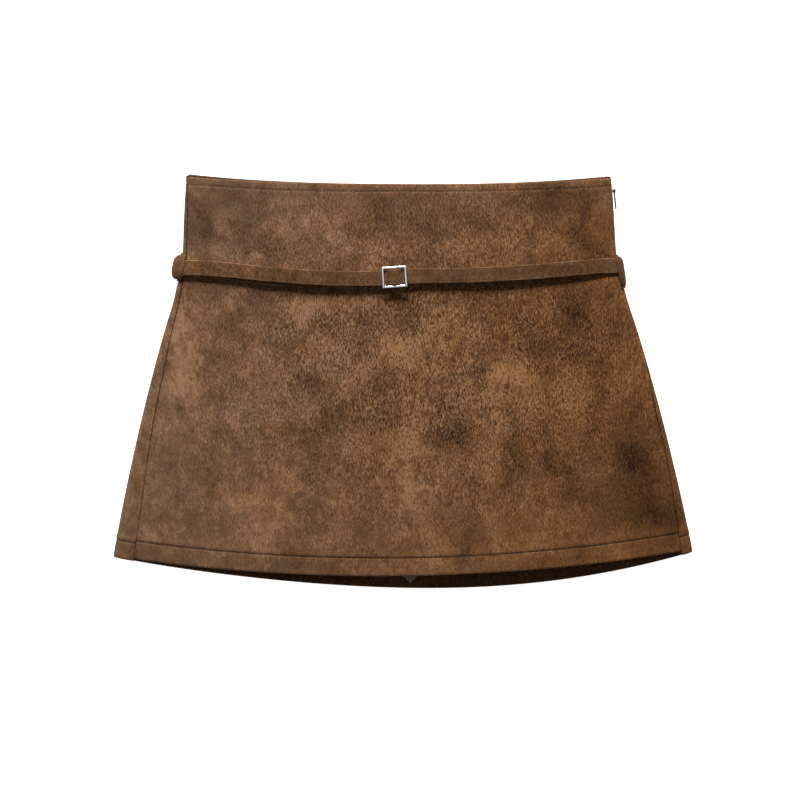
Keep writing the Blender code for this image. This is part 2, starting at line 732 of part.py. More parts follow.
def zip_pull():
    """The pull tab: a narrow neck at its hinge and a wider, round-ended grip."""
    half_outline = [(-PULL_THICK / 2.0, NECK_HALF), (NECK_LENGTH, NECK_HALF),
                    (NECK_LENGTH + NECK_FLARE, PULL_HALF)]
    for k in range(PULL_STEPS + 1):
        turn = math.pi / 2.0 * k / PULL_STEPS
        along = PULL_LENGTH - PULL_HALF + PULL_HALF * math.sin(turn)
        half_outline.append((along, PULL_HALF * math.cos(turn)))
    mirrored = [(along, -half) for along, half in half_outline[-2::-1]]
    outline = [Vector((-PULL_THICK / 2.0, -along, half)) for along, half in half_outline + mirrored]
    pull = plate("zip_pull", outline, Vector((PULL_THICK, 0.0, 0.0)), DARK_METAL)
    pull.location = pull_axis()
    pull.rotation_euler = (0.0, 0.0, PULL_LEAN)
    return pull


def care_label():
    """A folded label, lying askew on the back panel with one corner past the front hem."""
    height = TURNED_CLOTH + SEAM_GAP
    tip = place(LABEL_TIP[0], LABEL_TIP[1], height)
    turned = Matrix.Rotation(LABEL_TURN, 3, "Z")
    short = turned @ Vector((LABEL_WIDE, 0.0, 0.0))
    long = turned @ Vector((0.0, LABEL_LONG, 0.0))
    corners = [tip, tip + short, tip + short + long, tip + long]
    return plate("care_label", corners, Vector((0.0, 0.0, LABEL_THICK)), LABEL_CLOTH)


# ---------------------------------------------------------------------------------------
# The skort
# ---------------------------------------------------------------------------------------
def build():
    for obj in list(bpy.data.objects):
        bpy.data.objects.remove(obj)
    panel("front_panel", front_reaches, FRONT_CUT, STITCH_SINK)
    panel("back_panel", back_reaches, BACK_CUT, 0.0)
    for word, side in (("left", -1.0), ("right", 1.0)):
        shorts_panel("shorts_front_" + word, side, True)
        shorts_panel("shorts_back_" + word, side, False)
    belt_strap()
    for carrier in CARRIERS:
        belt_loop(carrier)
    buckle()
    zip_chain()
    zip_slider()
    zip_pull()
    care_label()


build()
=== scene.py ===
"""Looks of a suede mini skort that lies flat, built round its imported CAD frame.

Lengths are metres. +X is the wearer's left, +Y runs from hem to waist and +Z is up. `down`
is a depth below the waist level. The cloth is read from one table of cross-sections: a
flattened tube with a flat underside, a round fold at each side and a lofted top. `reach` is
measured along the cloth from the side fold, positive on top and negative below.
"""

import logging
import math
from collections.abc import Sequence
from dataclasses import dataclass
from enum import Enum

import bmesh
import bpy
import numpy as np
from bpy.types import Material, Mesh, Node, NodeSocket, NodeTree, Object
from mathutils import Matrix, Vector


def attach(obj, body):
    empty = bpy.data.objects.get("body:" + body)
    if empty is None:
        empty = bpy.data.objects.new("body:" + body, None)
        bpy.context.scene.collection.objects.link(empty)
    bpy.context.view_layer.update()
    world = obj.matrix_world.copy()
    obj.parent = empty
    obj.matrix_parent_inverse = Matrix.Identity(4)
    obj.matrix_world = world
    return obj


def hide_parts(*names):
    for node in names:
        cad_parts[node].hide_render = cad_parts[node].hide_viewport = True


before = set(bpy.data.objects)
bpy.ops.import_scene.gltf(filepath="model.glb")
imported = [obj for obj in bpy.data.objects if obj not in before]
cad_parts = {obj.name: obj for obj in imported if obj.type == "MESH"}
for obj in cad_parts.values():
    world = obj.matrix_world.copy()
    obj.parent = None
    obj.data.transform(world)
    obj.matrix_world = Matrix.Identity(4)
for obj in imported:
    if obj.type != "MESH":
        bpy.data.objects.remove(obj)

LOG = logging.getLogger("skort")
GARMENT = "garment"
ZIP_TAB = "zip_tab"

CLOTH = 0.0014
TURNED = 0.0026
LINING = 0.0010
SEAM_GAP = 0.0003
STITCH_SPREAD = 0.0008
WAIST_TURNING = 0.0064
HEM_TURNING = 0.0144
MM = 0.001

Points = np.ndarray
Colour = tuple[float, float, float]
Place = tuple[float, float, float]
Face = tuple[int, ...]
Sockets = dict[str, NodeSocket]


@dataclass(frozen=True)
class PanelCut:
    """The edges of a panel: its waist's dip and lift, and its hem's depth, rise and skew."""

    dip: float
    lift: float
    hem: float
    rise: float
    skew: float = 0.0

    BEND = 2.5
    TILT = 0.0029
    SKEW_SPAN = 1.1

    def waist_edge(self, share: Points) -> Points:
        """Depth of the waist edge; `share` runs from -1 at the left side to 1 at the right."""
        return self.dip * (1.0 - np.abs(share) ** self.BEND) + self.TILT * share - self.lift

    def hem_edge(self, share: Points) -> Points:
        """Depth of the hem edge at the same places."""
        skewed = self.skew * np.sin(math.pi * share / self.SKEW_SPAN)
        return self.hem - self.rise * share**2 + skewed


FRONT_CUT = PanelCut(0.0062, 0.0002, 0.3264, 0.0188)
BACK_CUT = PanelCut(0.0073, 0.0017, 0.3368, 0.0275, 0.0027)
HEM_SAG = 0.0005
MIDDLE = (BACK_CUT.hem + HEM_SAG - PanelCut.TILT - BACK_CUT.lift) / 2.0


# Smooth curves and the cloth's form
class Smooth:
    """A curve through a few values that never overshoots them."""

    def __init__(self, places: Sequence[float], values: Sequence[float]) -> None:
        """Fits the curve.

        Args:
            places: rising places along the curve.
            values: the curve's value at each place.
        """
        self.places = np.asarray(places, float)
        self.values = np.asarray(values, float)
        rises = np.diff(self.values) / np.diff(self.places)
        before, after = rises[:-1], rises[1:]
        same_way = before * after > 0.0
        total = np.where(same_way, before + after, 1.0)
        inner = np.where(same_way, 2.0 * before * after / total, 0.0)
        self.slopes = np.concatenate([rises[:1], inner, rises[-1:]])

    def at(self, place: Points | float) -> Points:
        """The curve's value.

        Args:
            place: places along the curve; past its ends the value is held.

        Returns:
            The value at each place.
        """
        place = np.clip(np.asarray(place, float), self.places[0], self.places[-1])
        last = len(self.places) - 2
        k = np.clip(np.searchsorted(self.places, place, side="right") - 1, 0, last)
        span = self.places[k + 1] - self.places[k]
        t = (place - self.places[k]) / span
        rest = 1.0 - t
        ends = self.values[k] * rest**2 * (1 + 2 * t) + self.values[k + 1] * t**2 * (3 - 2 * t)
        turns = self.slopes[k] * rest**2 * t - self.slopes[k + 1] * t**2 * rest
        return ends + span * turns


def eased(value: Points | float) -> Points:
    """A smooth step from 0 to 1 as the value goes from 0 to 1."""
    value = np.clip(value, 0.0, 1.0)
    return value * value * (3.0 - 2.0 * value)


def ramped(value: Points, start: float, over: float) -> Points:
    """A smooth step from 0 at `start` to 1 a distance `over` further on."""
    return eased((value - start) / over)


def bell(value: Points, width: float) -> Points:
    """A bell of height 1 at zero, with the given width."""
    return np.exp(-((value / width) ** 2))


def unit(vectors: Points) -> Points:
    """Vectors scaled to length 1."""
    return vectors / np.linalg.norm(vectors, axis=1, keepdims=True)


def tangents(path: Points) -> Points:
    """The way along a path at each of its points, not scaled."""
    return np.concatenate([path[1:], path[-1:]]) - np.concatenate([path[:1], path[:-1]])


def run_lengths(path: Points) -> Points:
    """The length along a path at each of its points."""
    return np.concatenate([[0.0], np.cumsum(np.linalg.norm(np.diff(path, axis=0), axis=1))])


def placed(x: Points, down: Points, z: Points) -> Points:
    """Points in the part's frame from their depth below the waist level."""
    x, down, z = np.broadcast_arrays(x, down, z)
    return np.stack([x, MIDDLE - down, z], axis=-1)


class SkirtForm:
    """The flattened tube that both skirt panels lie on."""

    SECTIONS = (
        # down, half width, fold height, middle height, left seam, right seam
        (0.000, 0.1738, 0.0060, 0.0064, 0.0025, 0.0003),
        (0.030, 0.1761, 0.0062, 0.0070, 0.0049, 0.0003),
        (0.065, 0.1777, 0.0064, 0.0078, 0.0053, 0.0003),
        (0.095, 0.1842, 0.0066, 0.0086, 0.0066, 0.0003),
        (0.125, 0.1934, 0.0068, 0.0094, 0.0085, 0.0003),
        (0.155, 0.2020, 0.0070, 0.0101, 0.0106, 0.0018),
        (0.195, 0.2125, 0.0073, 0.0110, 0.0128, 0.0064),
        (0.235, 0.2220, 0.0076, 0.0118, 0.0154, 0.0072),
        (0.275, 0.2307, 0.0079, 0.0126, 0.0184, 0.0099),
        (0.308, 0.2370, 0.0082, 0.0132, 0.0197, 0.0118),
        (0.338, 0.2425, 0.0084, 0.0136, 0.0205, 0.0125),
    )
    LIFTS = (
        (0.000, 0.0), (0.048, 0.0), (0.067, 0.0021),
        (0.084, 0.0021), (0.103, 0.0), (0.338, 0.0),
    )
    SHARE_AT = 0.308

    def __init__(self) -> None:
        """Fits one smooth curve to each column of the table."""
        columns = list(zip(*self.SECTIONS))
        curves = [Smooth(columns[0], column) for column in columns[1:]]
        self.half_width, self.fold_height, self.mid_height = curves[:3]
        self.left_seam, self.right_seam = curves[3:]
        downs, heights = zip(*self.LIFTS)
        self.lift = Smooth(downs, heights)

    def fold(self, down: Points) -> Points:
        """Radius of the side fold."""
        return self.fold_height.at(down) / 2.0

    def quarter(self, down: Points) -> Points:
        """Length of cloth from the side fold to where the top or the underside starts."""
        return math.pi * self.fold(down) / 2.0

    def to_middle(self, down: Points) -> Points:
        """Length of cloth from the side fold to the centre line."""
        return self.half_width.at(down) - self.fold(down) + self.quarter(down)

    def seam(self, side: float, down: Points) -> Points:
        """How far on top of the side fold the side seam lies."""
        return (self.left_seam if side < 0.0 else self.right_seam).at(down)

    def lofted(self, x: Points, down: Points) -> Points:
        """How far the top rises over the side folds at places across."""
        share = np.minimum(1.0, np.abs(x) / (self.half_width.at(down) - self.fold(down)))
        return (self.mid_height.at(down) - self.fold_height.at(down)) * (1.0 - share**3)

    def skin(self, side: Points | float, reach: Points, down: Points, depth: Points) -> Points:
        """Points of the cloth.

        Args:
            side: -1 in the left half, 1 in the right half.
            reach: length of cloth from the side fold.
            down: depth below the waist level.
            depth: how far under the cloth's outer face; below zero stands proud.

        Returns:
            Points in the part's frame.
        """
        half, fold, lift = self.half_width.at(down), self.fold(down), self.lift.at(down)
        turn = np.clip(reach / fold, -math.pi / 2.0, math.pi / 2.0)
        round_x = half - fold + (fold - depth) * np.cos(turn)
        round_z = lift + fold + (fold - depth) * np.sin(turn)
        flat_x = half - fold - (np.abs(reach) - self.quarter(down))
        top_z = lift + 2.0 * fold + self.lofted(flat_x, down) - depth
        flat_z = np.where(reach < 0.0, lift + depth, top_z)
        flat = np.abs(reach) > self.quarter(down)
        return placed(side * np.where(flat, flat_x, round_x), down,
                      np.where(flat, flat_z, round_z))

    def share(self, side: float, reach: Points) -> Points:
        """How far out a column lies, from 0 at the centre to 1 at the side fold."""
        x = self.skin(side, reach, np.full_like(reach, self.SHARE_AT), 0.0 * reach)[..., 0]
        return np.minimum(1.0, np.abs(x) / self.half_width.at(self.SHARE_AT))

    def top(self, x: Points, down: Points) -> Points:
        """Height of the front panel's outer face.

        Args:
            x: places across.
            down: depths below the waist level.

        Returns:
            The height at each place.
        """
        fold = self.fold(down)
        over = np.clip(np.abs(x) - (self.half_width.at(down) - fold), 0.0, fold)
        drop = fold - np.sqrt(np.maximum(0.0, fold**2 - over**2))
        return self.lift.at(down) + 2.0 * fold + self.lofted(x, down) - drop


FORM = SkirtForm()


# Meshes
def shown(mesh: Mesh, sharp: float | None) -> Object:
    """An object that shows a mesh, shaded smooth.

    Args:
        mesh: the mesh, which gives the object its name.
        sharp: edges above this angle in degrees stay sharp.

    Returns:
        The new object, at the origin.
    """
    mesh.shade_smooth()
    if sharp is not None:
        mesh.set_sharp_from_angle(angle=math.radians(sharp))
    piece = bpy.data.objects.new(mesh.name, mesh)
    bpy.context.scene.collection.objects.link(piece)
    return piece


def make_piece(
    name: str, vertices: Points, faces: list[Face], materials: Sequence[Material],
    slots: Sequence[int] | None = None, sharp: float | None = 50.0,
) -> Object:
    """An object from points and faces, with its faces turned outwards.

    Args:
        name: the piece's name.
        vertices: points, one row each.
        faces: corner numbers of each face.
        materials: the piece's materials.
        slots: the material number of each face.
        sharp: edges above this angle in degrees stay sharp.

    Returns:
        The new object, at the origin.
    """
    mesh = bpy.data.meshes.new(name)
    mesh.from_pydata(np.asarray(vertices, float).reshape(-1, 3).tolist(), [], faces)
    for material in materials:
        mesh.materials.append(material)
    if slots is not None:
        mesh.polygons.foreach_set("material_index", np.asarray(slots, np.int32))
    bm = bmesh.new()
    bm.from_mesh(mesh)
    bmesh.ops.recalc_face_normals(bm, faces=bm.faces)
    bm.to_mesh(mesh)
    bm.free()
    return shown(mesh, sharp)


def grid_faces(grid: Points) -> list[Face]:
    """Four-cornered faces between the rows and columns of a grid of point numbers."""
    corners = (grid[:-1, :-1], grid[:-1, 1:], grid[1:, 1:], grid[1:, :-1])
    return list(zip(*(corner.ravel().tolist() for corner in corners)))


def tube_faces(rings: int, around: int, closed: bool = False) -> list[Face]:
    """Faces of a tube of rings of points.

    Args:
        rings: how many rings.
        around: how many points each ring has.
        closed: whether the last ring joins the first, or else both ends are capped.

    Returns:
        Corner numbers of each face, with the points numbered ring by ring.
    """
    faces = []
    for r in range(rings if closed else rings - 1):
        after = (r + 1) % rings
        for k in range(around):
            turn = (k + 1) % around
            faces.append((r * around + k, r * around + turn,
                          after * around + turn, after * around + k))
    if not closed:
        faces.append(tuple(range(around)))
        faces.append(tuple(range((rings - 1) * around, rings * around)))
    return faces


def ribbon_points(
    path: Points, normals: Points, widths: Points, profile: Sequence[tuple[float, float]]
) -> Points:
    """Points of a strip: one copy of the profile at each point of a path.

    Args:
        path: the strip's middle.
        normals: unit vectors out of its face.
        widths: unit vectors across it.
        profile: a closed outline of (across, out) offsets.

    Returns:
        An array of rings of points.
    """
    offsets = np.asarray(profile, float)
    across = offsets[None, :, 0, None] * widths[:, None, :]
    out = offsets[None, :, 1, None] * normals[:, None, :]
    return path[:, None, :] + across + out


def path_normals(path: Points, width_way: Points) -> Points:
    """Unit normals along a path, square to it and to the strip's width."""
    return unit(np.cross(tangents(path), width_way))


def resampled(path: Points, pitch: float) -> Points:
    """Points at an even pitch along a path of straight runs.

    Args:
        path: corners of the runs, in order.
        pitch: the distance to aim for.

    Returns:
        The points, with both ends kept.
    """
    runs = run_lengths(path)
    count = max(2, int(round(runs[-1] / pitch)) + 1)
    places = np.linspace(0.0, runs[-1], count)
    return np.stack([np.interp(places, runs, path[:, axis]) for axis in range(3)], axis=1)


def set_values(piece: Object, name: str, values: Points) -> None:
    """Stores one number for each vertex under a name."""
    attribute = piece.data.attributes.new(name, "FLOAT", "POINT")
    attribute.data.foreach_set("value", np.asarray(values, np.float32).ravel())


# Shader building
class NodeDesk:
    """Adds and links nodes in one node tree."""

    def __init__(self, tree: NodeTree) -> None:
        """Keeps the tree that the nodes go into."""
        self.tree = tree

    def add(
        self, kind: str, feeds: dict[int | str, object] | None = None, **settings: object
    ) -> Node:
        """A new node with some of its properties and inputs set.

        Args:
            kind: the node's type name.
            feeds: what goes into its inputs, by name or number.
            settings: its properties and their values.

        Returns:
            The node.
        """
        node = self.tree.nodes.new(kind)
        for name, value in settings.items():
            setattr(node, name, value)
        for key, value in (feeds or {}).items():
            self.feed(node.inputs[key], value)
        return node

    def feed(self, socket: NodeSocket, value: object) -> None:
        """Links a socket into an input, or sets the input's own value.

        Args:
            socket: the input.
            value: a socket to link, or a plain value.
        """
        if isinstance(value, NodeSocket):
            self.tree.links.new(value, socket)
        elif isinstance(value, tuple) and len(value) == 3 and socket.type == "RGBA":
            socket.default_value = (*value, 1.0)
        else:
            socket.default_value = value

    def math(self, operation: str, *values: object, clamp: bool = False) -> NodeSocket:
        """The result of a math node; `clamp` holds it from 0 to 1."""
        feeds = dict(enumerate(values))
        return self.add("ShaderNodeMath", feeds, operation=operation, use_clamp=clamp).outputs[0]

    def total(self, *terms: tuple[object, float]) -> NodeSocket:
        """A sum of values, each with its own weight.

        Args:
            terms: pairs of a value and its weight.

        Returns:
            The sum.
        """
        result: object = 0.0
        for value, weight in terms:
            result = self.math("MULTIPLY_ADD", value, weight, result)
        return result

    def stretch(self, vector: NodeSocket, scale: Colour) -> NodeSocket:
        """A vector stretched by one number along each axis."""
        feeds = {0: vector, 1: scale}
        return self.add("ShaderNodeVectorMath", feeds, operation="MULTIPLY").outputs[0]

    def noise(
        self, vector: NodeSocket, scale: float, detail: float = 2.0,
        rough: float = 0.5, twist: float = 0.0,
    ) -> NodeSocket:
        """Noise about zero, from about -0.5 to 0.5.

        Args:
            vector: the place to read it at.
            scale: cells to the metre.
            detail: how many finer layers it has.
            rough: how strong the finer layers are.
            twist: how far it is distorted.

        Returns:
            The noise.
        """
        node = self.add("ShaderNodeTexNoise", {
            "Vector": vector, "Scale": scale, "Detail": detail, "Roughness": rough,
            "Distortion": twist,
        })
        return self.math("SUBTRACT", node.outputs[0], 0.5)

    def between(
        self, value: object, low: float, high: float, to_low: float = 0.0, to_high: float = 1.0,
    ) -> NodeSocket:
        """A value mapped smoothly from one range to another, and held past its ends."""
        feeds = dict(enumerate((value, low, high, to_low, to_high)))
        return self.add("ShaderNodeMapRange", feeds, interpolation_type="SMOOTHSTEP").outputs[0]

    def ramp(self, value: object, stops: Sequence[tuple[float, Colour]]) -> NodeSocket:
        """A colour read from a ramp.

        Args:
            value: the place on the ramp, from 0 to 1.
            stops: each stop's place and colour.

        Returns:
            The colour.
        """
        node = self.add("ShaderNodeValToRGB", {0: value})
        elements = node.color_ramp.elements
        while len(elements) < len(stops):
            elements.new(0.5)
        for element, (position, colour) in zip(elements, stops):
            element.position = position
            element.color = (*colour, 1.0)
        return node.outputs[0]

    def blend(self, share: object, one: object, other: object) -> NodeSocket:
        """A mix of two colours; `share` is how much of the other one."""
        feeds = {0: share, 6: one, 7: other}
        return self.add("ShaderNodeMix", feeds, data_type="RGBA").outputs[2]

    def bump(self, height: object, distance: float, strength: float) -> NodeSocket:
        """A normal bent by a height; `distance` is how deep a height of 1 is."""
        feeds = {"Strength": strength, "Distance": distance, "Height": height}
        return self.add("ShaderNodeBump", feeds).outputs["Normal"]


FLOAT = "NodeSocketFloat"
COLOUR = "NodeSocketColor"
VECTOR = "NodeSocketVector"


class ShaderGroup:
    """A shader node group with named sockets, built once and used in several materials."""

    NAME = ""
    INPUTS: tuple[tuple[str, str, object], ...] = ()
    OUTPUTS = (("Color", COLOUR), ("Roughness", FLOAT), ("Height", FLOAT))

    @classmethod
    def tree(cls) -> NodeTree:
        """The group's tree, made at its first use.

        Returns:
            The node group.
        """
        made = bpy.data.node_groups.get(cls.NAME)
        if made is not None:
            return made
        tree = bpy.data.node_groups.new(cls.NAME, "ShaderNodeTree")
        for name, kind, value in cls.INPUTS:
            socket = tree.interface.new_socket(name, in_out="INPUT", socket_type=kind)
            if value is not None:
                socket.default_value = value
        for name, kind in cls.OUTPUTS:
            tree.interface.new_socket(name, in_out="OUTPUT", socket_type=kind)
        desk = NodeDesk(tree)
        given = desk.add("NodeGroupInput")
        results = cls.build(desk, {socket.name: socket for socket in given.outputs if socket.name})
        out = desk.add("NodeGroupOutput")
        for name, socket in results.items():
            desk.feed(out.inputs[name], socket)
        return tree

    @classmethod
    def build(cls, desk: NodeDesk, given: Sockets) -> Sockets:
        """Adds the group's nodes, and returns the socket for each output by name."""
        raise NotImplementedError

    @classmethod
    def use(cls, desk: NodeDesk, **values: object) -> Node:
        """Places the group in a material.

        Args:
            desk: the material's desk.
            values: the group's inputs, with spaces written as underscores.

        Returns:
            The group node.
        """
        node = desk.add("ShaderNodeGroup", node_tree=cls.tree())
        for name, value in values.items():
            desk.feed(node.inputs[name.replace("_", " ")], value)
        return node


class SuedeNap(ShaderGroup):
    """Mottled nap: soft blotches, streaks along the pile, clusters of specks and fine grain."""

    NAME = "Suede nap"
    INPUTS = (
        ("Vector", VECTOR, None),
        ("Shade", FLOAT, 0.0),
        ("Nap", FLOAT, 0.7),
        ("Ash", FLOAT, 0.4),
        ("Base tone", FLOAT, 0.6),
        ("Mottling", FLOAT, 1.0),
        ("Grain", FLOAT, 1.0),
    )
    PILE_WAY = (1.0, 0.34, 1.0)
    # scale, detail, roughness and distortion of each noise, from broad to fine
    CLOUD = (21.0, 3.0, 0.60, 0.8)
    HUE = (34.0, 3.0, 0.70, 0.5)
    CLUMP = (62.0, 2.0, 0.70, 0.6)
    MOTTLE = (230.0, 1.0, 0.60, 0.3)
    SPECK = (720.0, 1.0, 0.70, 0.0)
    GRAIN = (1050.0, 1.0, 0.80, 0.0)
    TONES = (
        (0.00, (0.0140, 0.0056, 0.0020)),
        (0.25, (0.0500, 0.0212, 0.0078)),
        (0.44, (0.0976, 0.0415, 0.0142)),
        (0.64, (0.1680, 0.0735, 0.0255)),
        (0.82, (0.2500, 0.1130, 0.0415)),
        (0.98, (0.3300, 0.1560, 0.0620)),
    )
    ASHY_TONES = (
        (0.00, (0.0140, 0.0072, 0.0036)),
        (0.30, (0.0570, 0.0310, 0.0160)),
        (0.64, (0.1600, 0.0880, 0.0500)),
        (0.98, (0.3150, 0.1820, 0.1080)),
    )

    @classmethod
    def build(cls, desk: NodeDesk, given: Sockets) -> Sockets:
        """Adds the nap's nodes.

        Args:
            desk: where the nodes are added.
            given: the sockets of the inputs, by name.

        Returns:
            The socket for each output, by name.
        """
        vector = given["Vector"]
        pile = desk.stretch(vector, cls.PILE_WAY)
        cloud = desk.noise(vector, *cls.CLOUD)
        clump = desk.noise(vector, *cls.CLUMP)
        mottle = desk.noise(pile, *cls.MOTTLE)
        grain = desk.noise(pile, *cls.GRAIN)
        broken = desk.total((clump, 2.6), (mottle, 1.2), (cloud, 1.2), (1.0, 1.0))
        shade = desk.math("MULTIPLY", given["Shade"], desk.math("MAXIMUM", broken, 0.1))
        gathered = desk.math("MAXIMUM", desk.total((clump, 1.3), (cloud, 0.8), (1.0, 1.0)), 0.4)
        strength = desk.math("MULTIPLY", given["Nap"], gathered)
        dark = desk.between(desk.total((shade, -1.0), (cloud, -0.8), (clump, -1.2)), -0.1, 0.6)
        specks = desk.between(desk.noise(vector, *cls.SPECK), 0.04, 0.16)
        specks = desk.math("MULTIPLY", specks, dark)
        fine = desk.total((mottle, 0.20), (grain, 2.05), (specks, -0.11))
        fine = desk.math("MULTIPLY", desk.math("MULTIPLY", fine, strength), given["Grain"])
        clouds = desk.math(
            "MULTIPLY", desk.total((cloud, 0.46), (clump, 0.55), (mottle, 0.16)), given["Mottling"]
        )
        tone = desk.total((given["Base tone"], 1.0), (shade, 0.30), (clouds, 1.0), (fine, 1.0))
        tone = desk.math("MAXIMUM", desk.math("MINIMUM", tone, 1.0), 0.0)
        hue = desk.noise(vector, *cls.HUE)
        # on the skirt, Ash is a painted cool light cast; the hue noise adds random shifts
        ashy = desk.total((given["Ash"], 1.0), (hue, 1.1), (shade, -0.12))
        ashy = desk.math("MAXIMUM", desk.math("MINIMUM", ashy, 1.0), 0.0)
        colour = desk.blend(ashy, desk.ramp(tone, cls.TONES), desk.ramp(tone, cls.ASHY_TONES))
        rough = desk.total((tone, -0.14), (grain, 0.25), (1.0, 0.95))
        height = desk.total((grain, 0.8), (mottle, 0.6), (clump, 0.5))
        height = desk.math("MULTIPLY", height, given["Nap"])
        return {"Color": colour, "Roughness": rough, "Height": height}


class EdgeWear(ShaderGroup):
    """Rubbed edges and fine scratches on metal."""

    NAME = "Edge wear"
    INPUTS = (
        ("Vector", VECTOR, None),
        ("Base", COLOUR, (0.8, 0.8, 0.8, 1.0)),
        ("Worn", COLOUR, (0.9, 0.9, 0.9, 1.0)),
        ("Gloss", FLOAT, 0.2),
        ("Wear", FLOAT, 0.5),
    )

    @classmethod
    def build(cls, desk: NodeDesk, given: Sockets) -> Sockets:
        """Adds the wear's nodes.

        Args:
            desk: where the nodes are added.
            given: the sockets of the inputs, by name.

        Returns:
            The socket for each output, by name.
        """
        vector = given["Vector"]
        pointed = desk.add("ShaderNodeNewGeometry").outputs["Pointiness"]
        edge = desk.between(pointed, 0.52, 0.60)
        smears = desk.noise(vector, 420.0, 4.0, 0.6, 0.3)
        scratch = desk.noise(desk.stretch(vector, (1.0, 0.06, 1.0)), 3800.0, 2.0, 0.5)
        wear_and_highlight = desk.math("MULTIPLY", edge, given["Wear"])
        wear_and_highlight = desk.math("MULTIPLY", wear_and_highlight, desk.between(smears, -0.25, 0.15), clamp=True)
        colour = desk.blend(wear_and_highlight, given["Base"], given["Worn"])
        rough = desk.total((given["Gloss"], 1.0), (smears, 0.14), (scratch, 0.10))
        rough = desk.math("MAXIMUM", rough, 0.04)
        height = desk.total((smears, 0.4), (scratch, 0.6))
        return {"Color": colour, "Roughness": rough, "Height": height}


class ClothWeave(ShaderGroup):
    """A plain weave: two crossed sets of threads that go over and under each other."""

    NAME = "Cloth weave"
    INPUTS = (
        ("Vector", VECTOR, None),
        ("Threads", FLOAT, 2600.0),
        ("Low", COLOUR, (0.02, 0.02, 0.02, 1.0)),
        ("High", COLOUR, (0.05, 0.05, 0.05, 1.0)),
    )

    @classmethod
    def build(cls, desk: NodeDesk, given: Sockets) -> Sockets:
        """Adds the weave's nodes.

        Args:
            desk: where the nodes are added.
            given: the sockets of the inputs, by name.

        Returns:
            The socket for each output, by name.
        """
        split = desk.add("ShaderNodeSeparateXYZ", {0: given["Vector"]})
        turns = [desk.math("MULTIPLY", split.outputs[axis], given["Threads"]) for axis in (0, 1)]
        warp, weft = [desk.math("SINE", turn) for turn in turns]
        over = desk.math("MULTIPLY", warp, weft)
        cloud = desk.noise(given["Vector"], 60.0, 4.0, 0.6)
        height = desk.total((over, 0.5), (1.0, 0.5))
        shade = desk.total((height, 0.7), (cloud, 0.8), (1.0, 0.15))
        colour = desk.blend(desk.math("MINIMUM", shade, 1.0), given["Low"], given["High"])
        rough = desk.total((height, -0.12), (cloud, 0.15), (1.0, 0.80))
        return {"Color": colour, "Roughness": rough, "Height": height}


def new_material(name: str, colour: Colour) -> tuple[Material, NodeDesk, Node]:
    """An empty material.

    Args:
        name: its name.
        colour: the colour that a viewport without textures shows.

    Returns:
        The material, a desk on its tree, and its Principled node.
    """
    material = bpy.data.materials.new(name)
    material.use_nodes = True
    material.diffuse_color = (*colour, 1.0)
    tree = material.node_tree
    return material, NodeDesk(tree), tree.nodes["Principled BSDF"]


def object_place(desk: NodeDesk) -> NodeSocket:
    """The place in the piece's own space, which is the part's frame."""
    return desk.add("ShaderNodeTexCoord").outputs["Object"]


def set_sockets(shader: Node, **values: object) -> None:
    """Sets inputs of a shader that stay the same all over the surface."""
    for name, value in values.items():
        shader.inputs[name.replace("_", " ")].default_value = value


def wire(desk: NodeDesk, shader: Node, group: Node, relief: float, strength: float) -> None:
    """Feeds a group's colour, roughness and height into a shader.

    Args:
        desk: the material's desk.
        shader: its Principled node.
        group: the group node.
        relief: how deep the group's height is.
        strength: how strongly the height bends the normal.
    """
    desk.feed(shader.inputs["Base Color"], group.outputs["Color"])
    desk.feed(shader.inputs["Roughness"], group.outputs["Roughness"])
    desk.feed(shader.inputs["Normal"], desk.bump(group.outputs["Height"], relief, strength))


@dataclass(frozen=True)
class SuedeFinish:
    """Brushed suede with a mottled nap."""

    name: str
    base_tone: float = 0.60
    mottling: float = 1.0
    grain: float = 1.0
    stored: tuple[str, ...] = ()
    relief: float = 0.00035
    sheen: float = 0.06

    def make(self) -> Material:
        """The finish as a material.

        Returns:
            The new material.
        """
        material, desk, shader = new_material(self.name, (0.145, 0.069, 0.032))
        stored = {
            socket: desk.add("ShaderNodeAttribute", attribute_name=name).outputs["Fac"]
            for socket, name in (("Shade", "shade"), ("Nap", "nap"), ("Ash", "ash"))
            if name in self.stored
        }
        nap = SuedeNap.use(
            desk, Vector=object_place(desk), Base_tone=self.base_tone,
            Mottling=self.mottling, Grain=self.grain, **stored,
        )
        wire(desk, shader, nap, self.relief, 0.55)
        set_sockets(shader, Specular_IOR_Level=0.06, Sheen_Weight=self.sheen,
                    Sheen_Roughness=0.55, Sheen_Tint=(0.62, 0.42, 0.28, 1.0))
        return material


@dataclass(frozen=True)
class WovenFinish:
    """Woven cloth: lining, knit backing or label tape."""

    name: str
    low: Colour
    high: Colour
    threads: float = 5200.0
    relief: float = 0.00012
    sheen: float = 0.05
    specular: float = 0.25

    def make(self) -> Material:
        """The finish as a material.

        Returns:
            The new material.
        """
        material, desk, shader = new_material(self.name, self.high)
        weave = ClothWeave.use(
            desk, Vector=object_place(desk), Threads=self.threads, Low=self.low, High=self.high
        )
        wire(desk, shader, weave, self.relief, 0.5)
        set_sockets(shader, Specular_IOR_Level=self.specular, Sheen_Weight=self.sheen,
                    Sheen_Roughness=0.5)
        return material


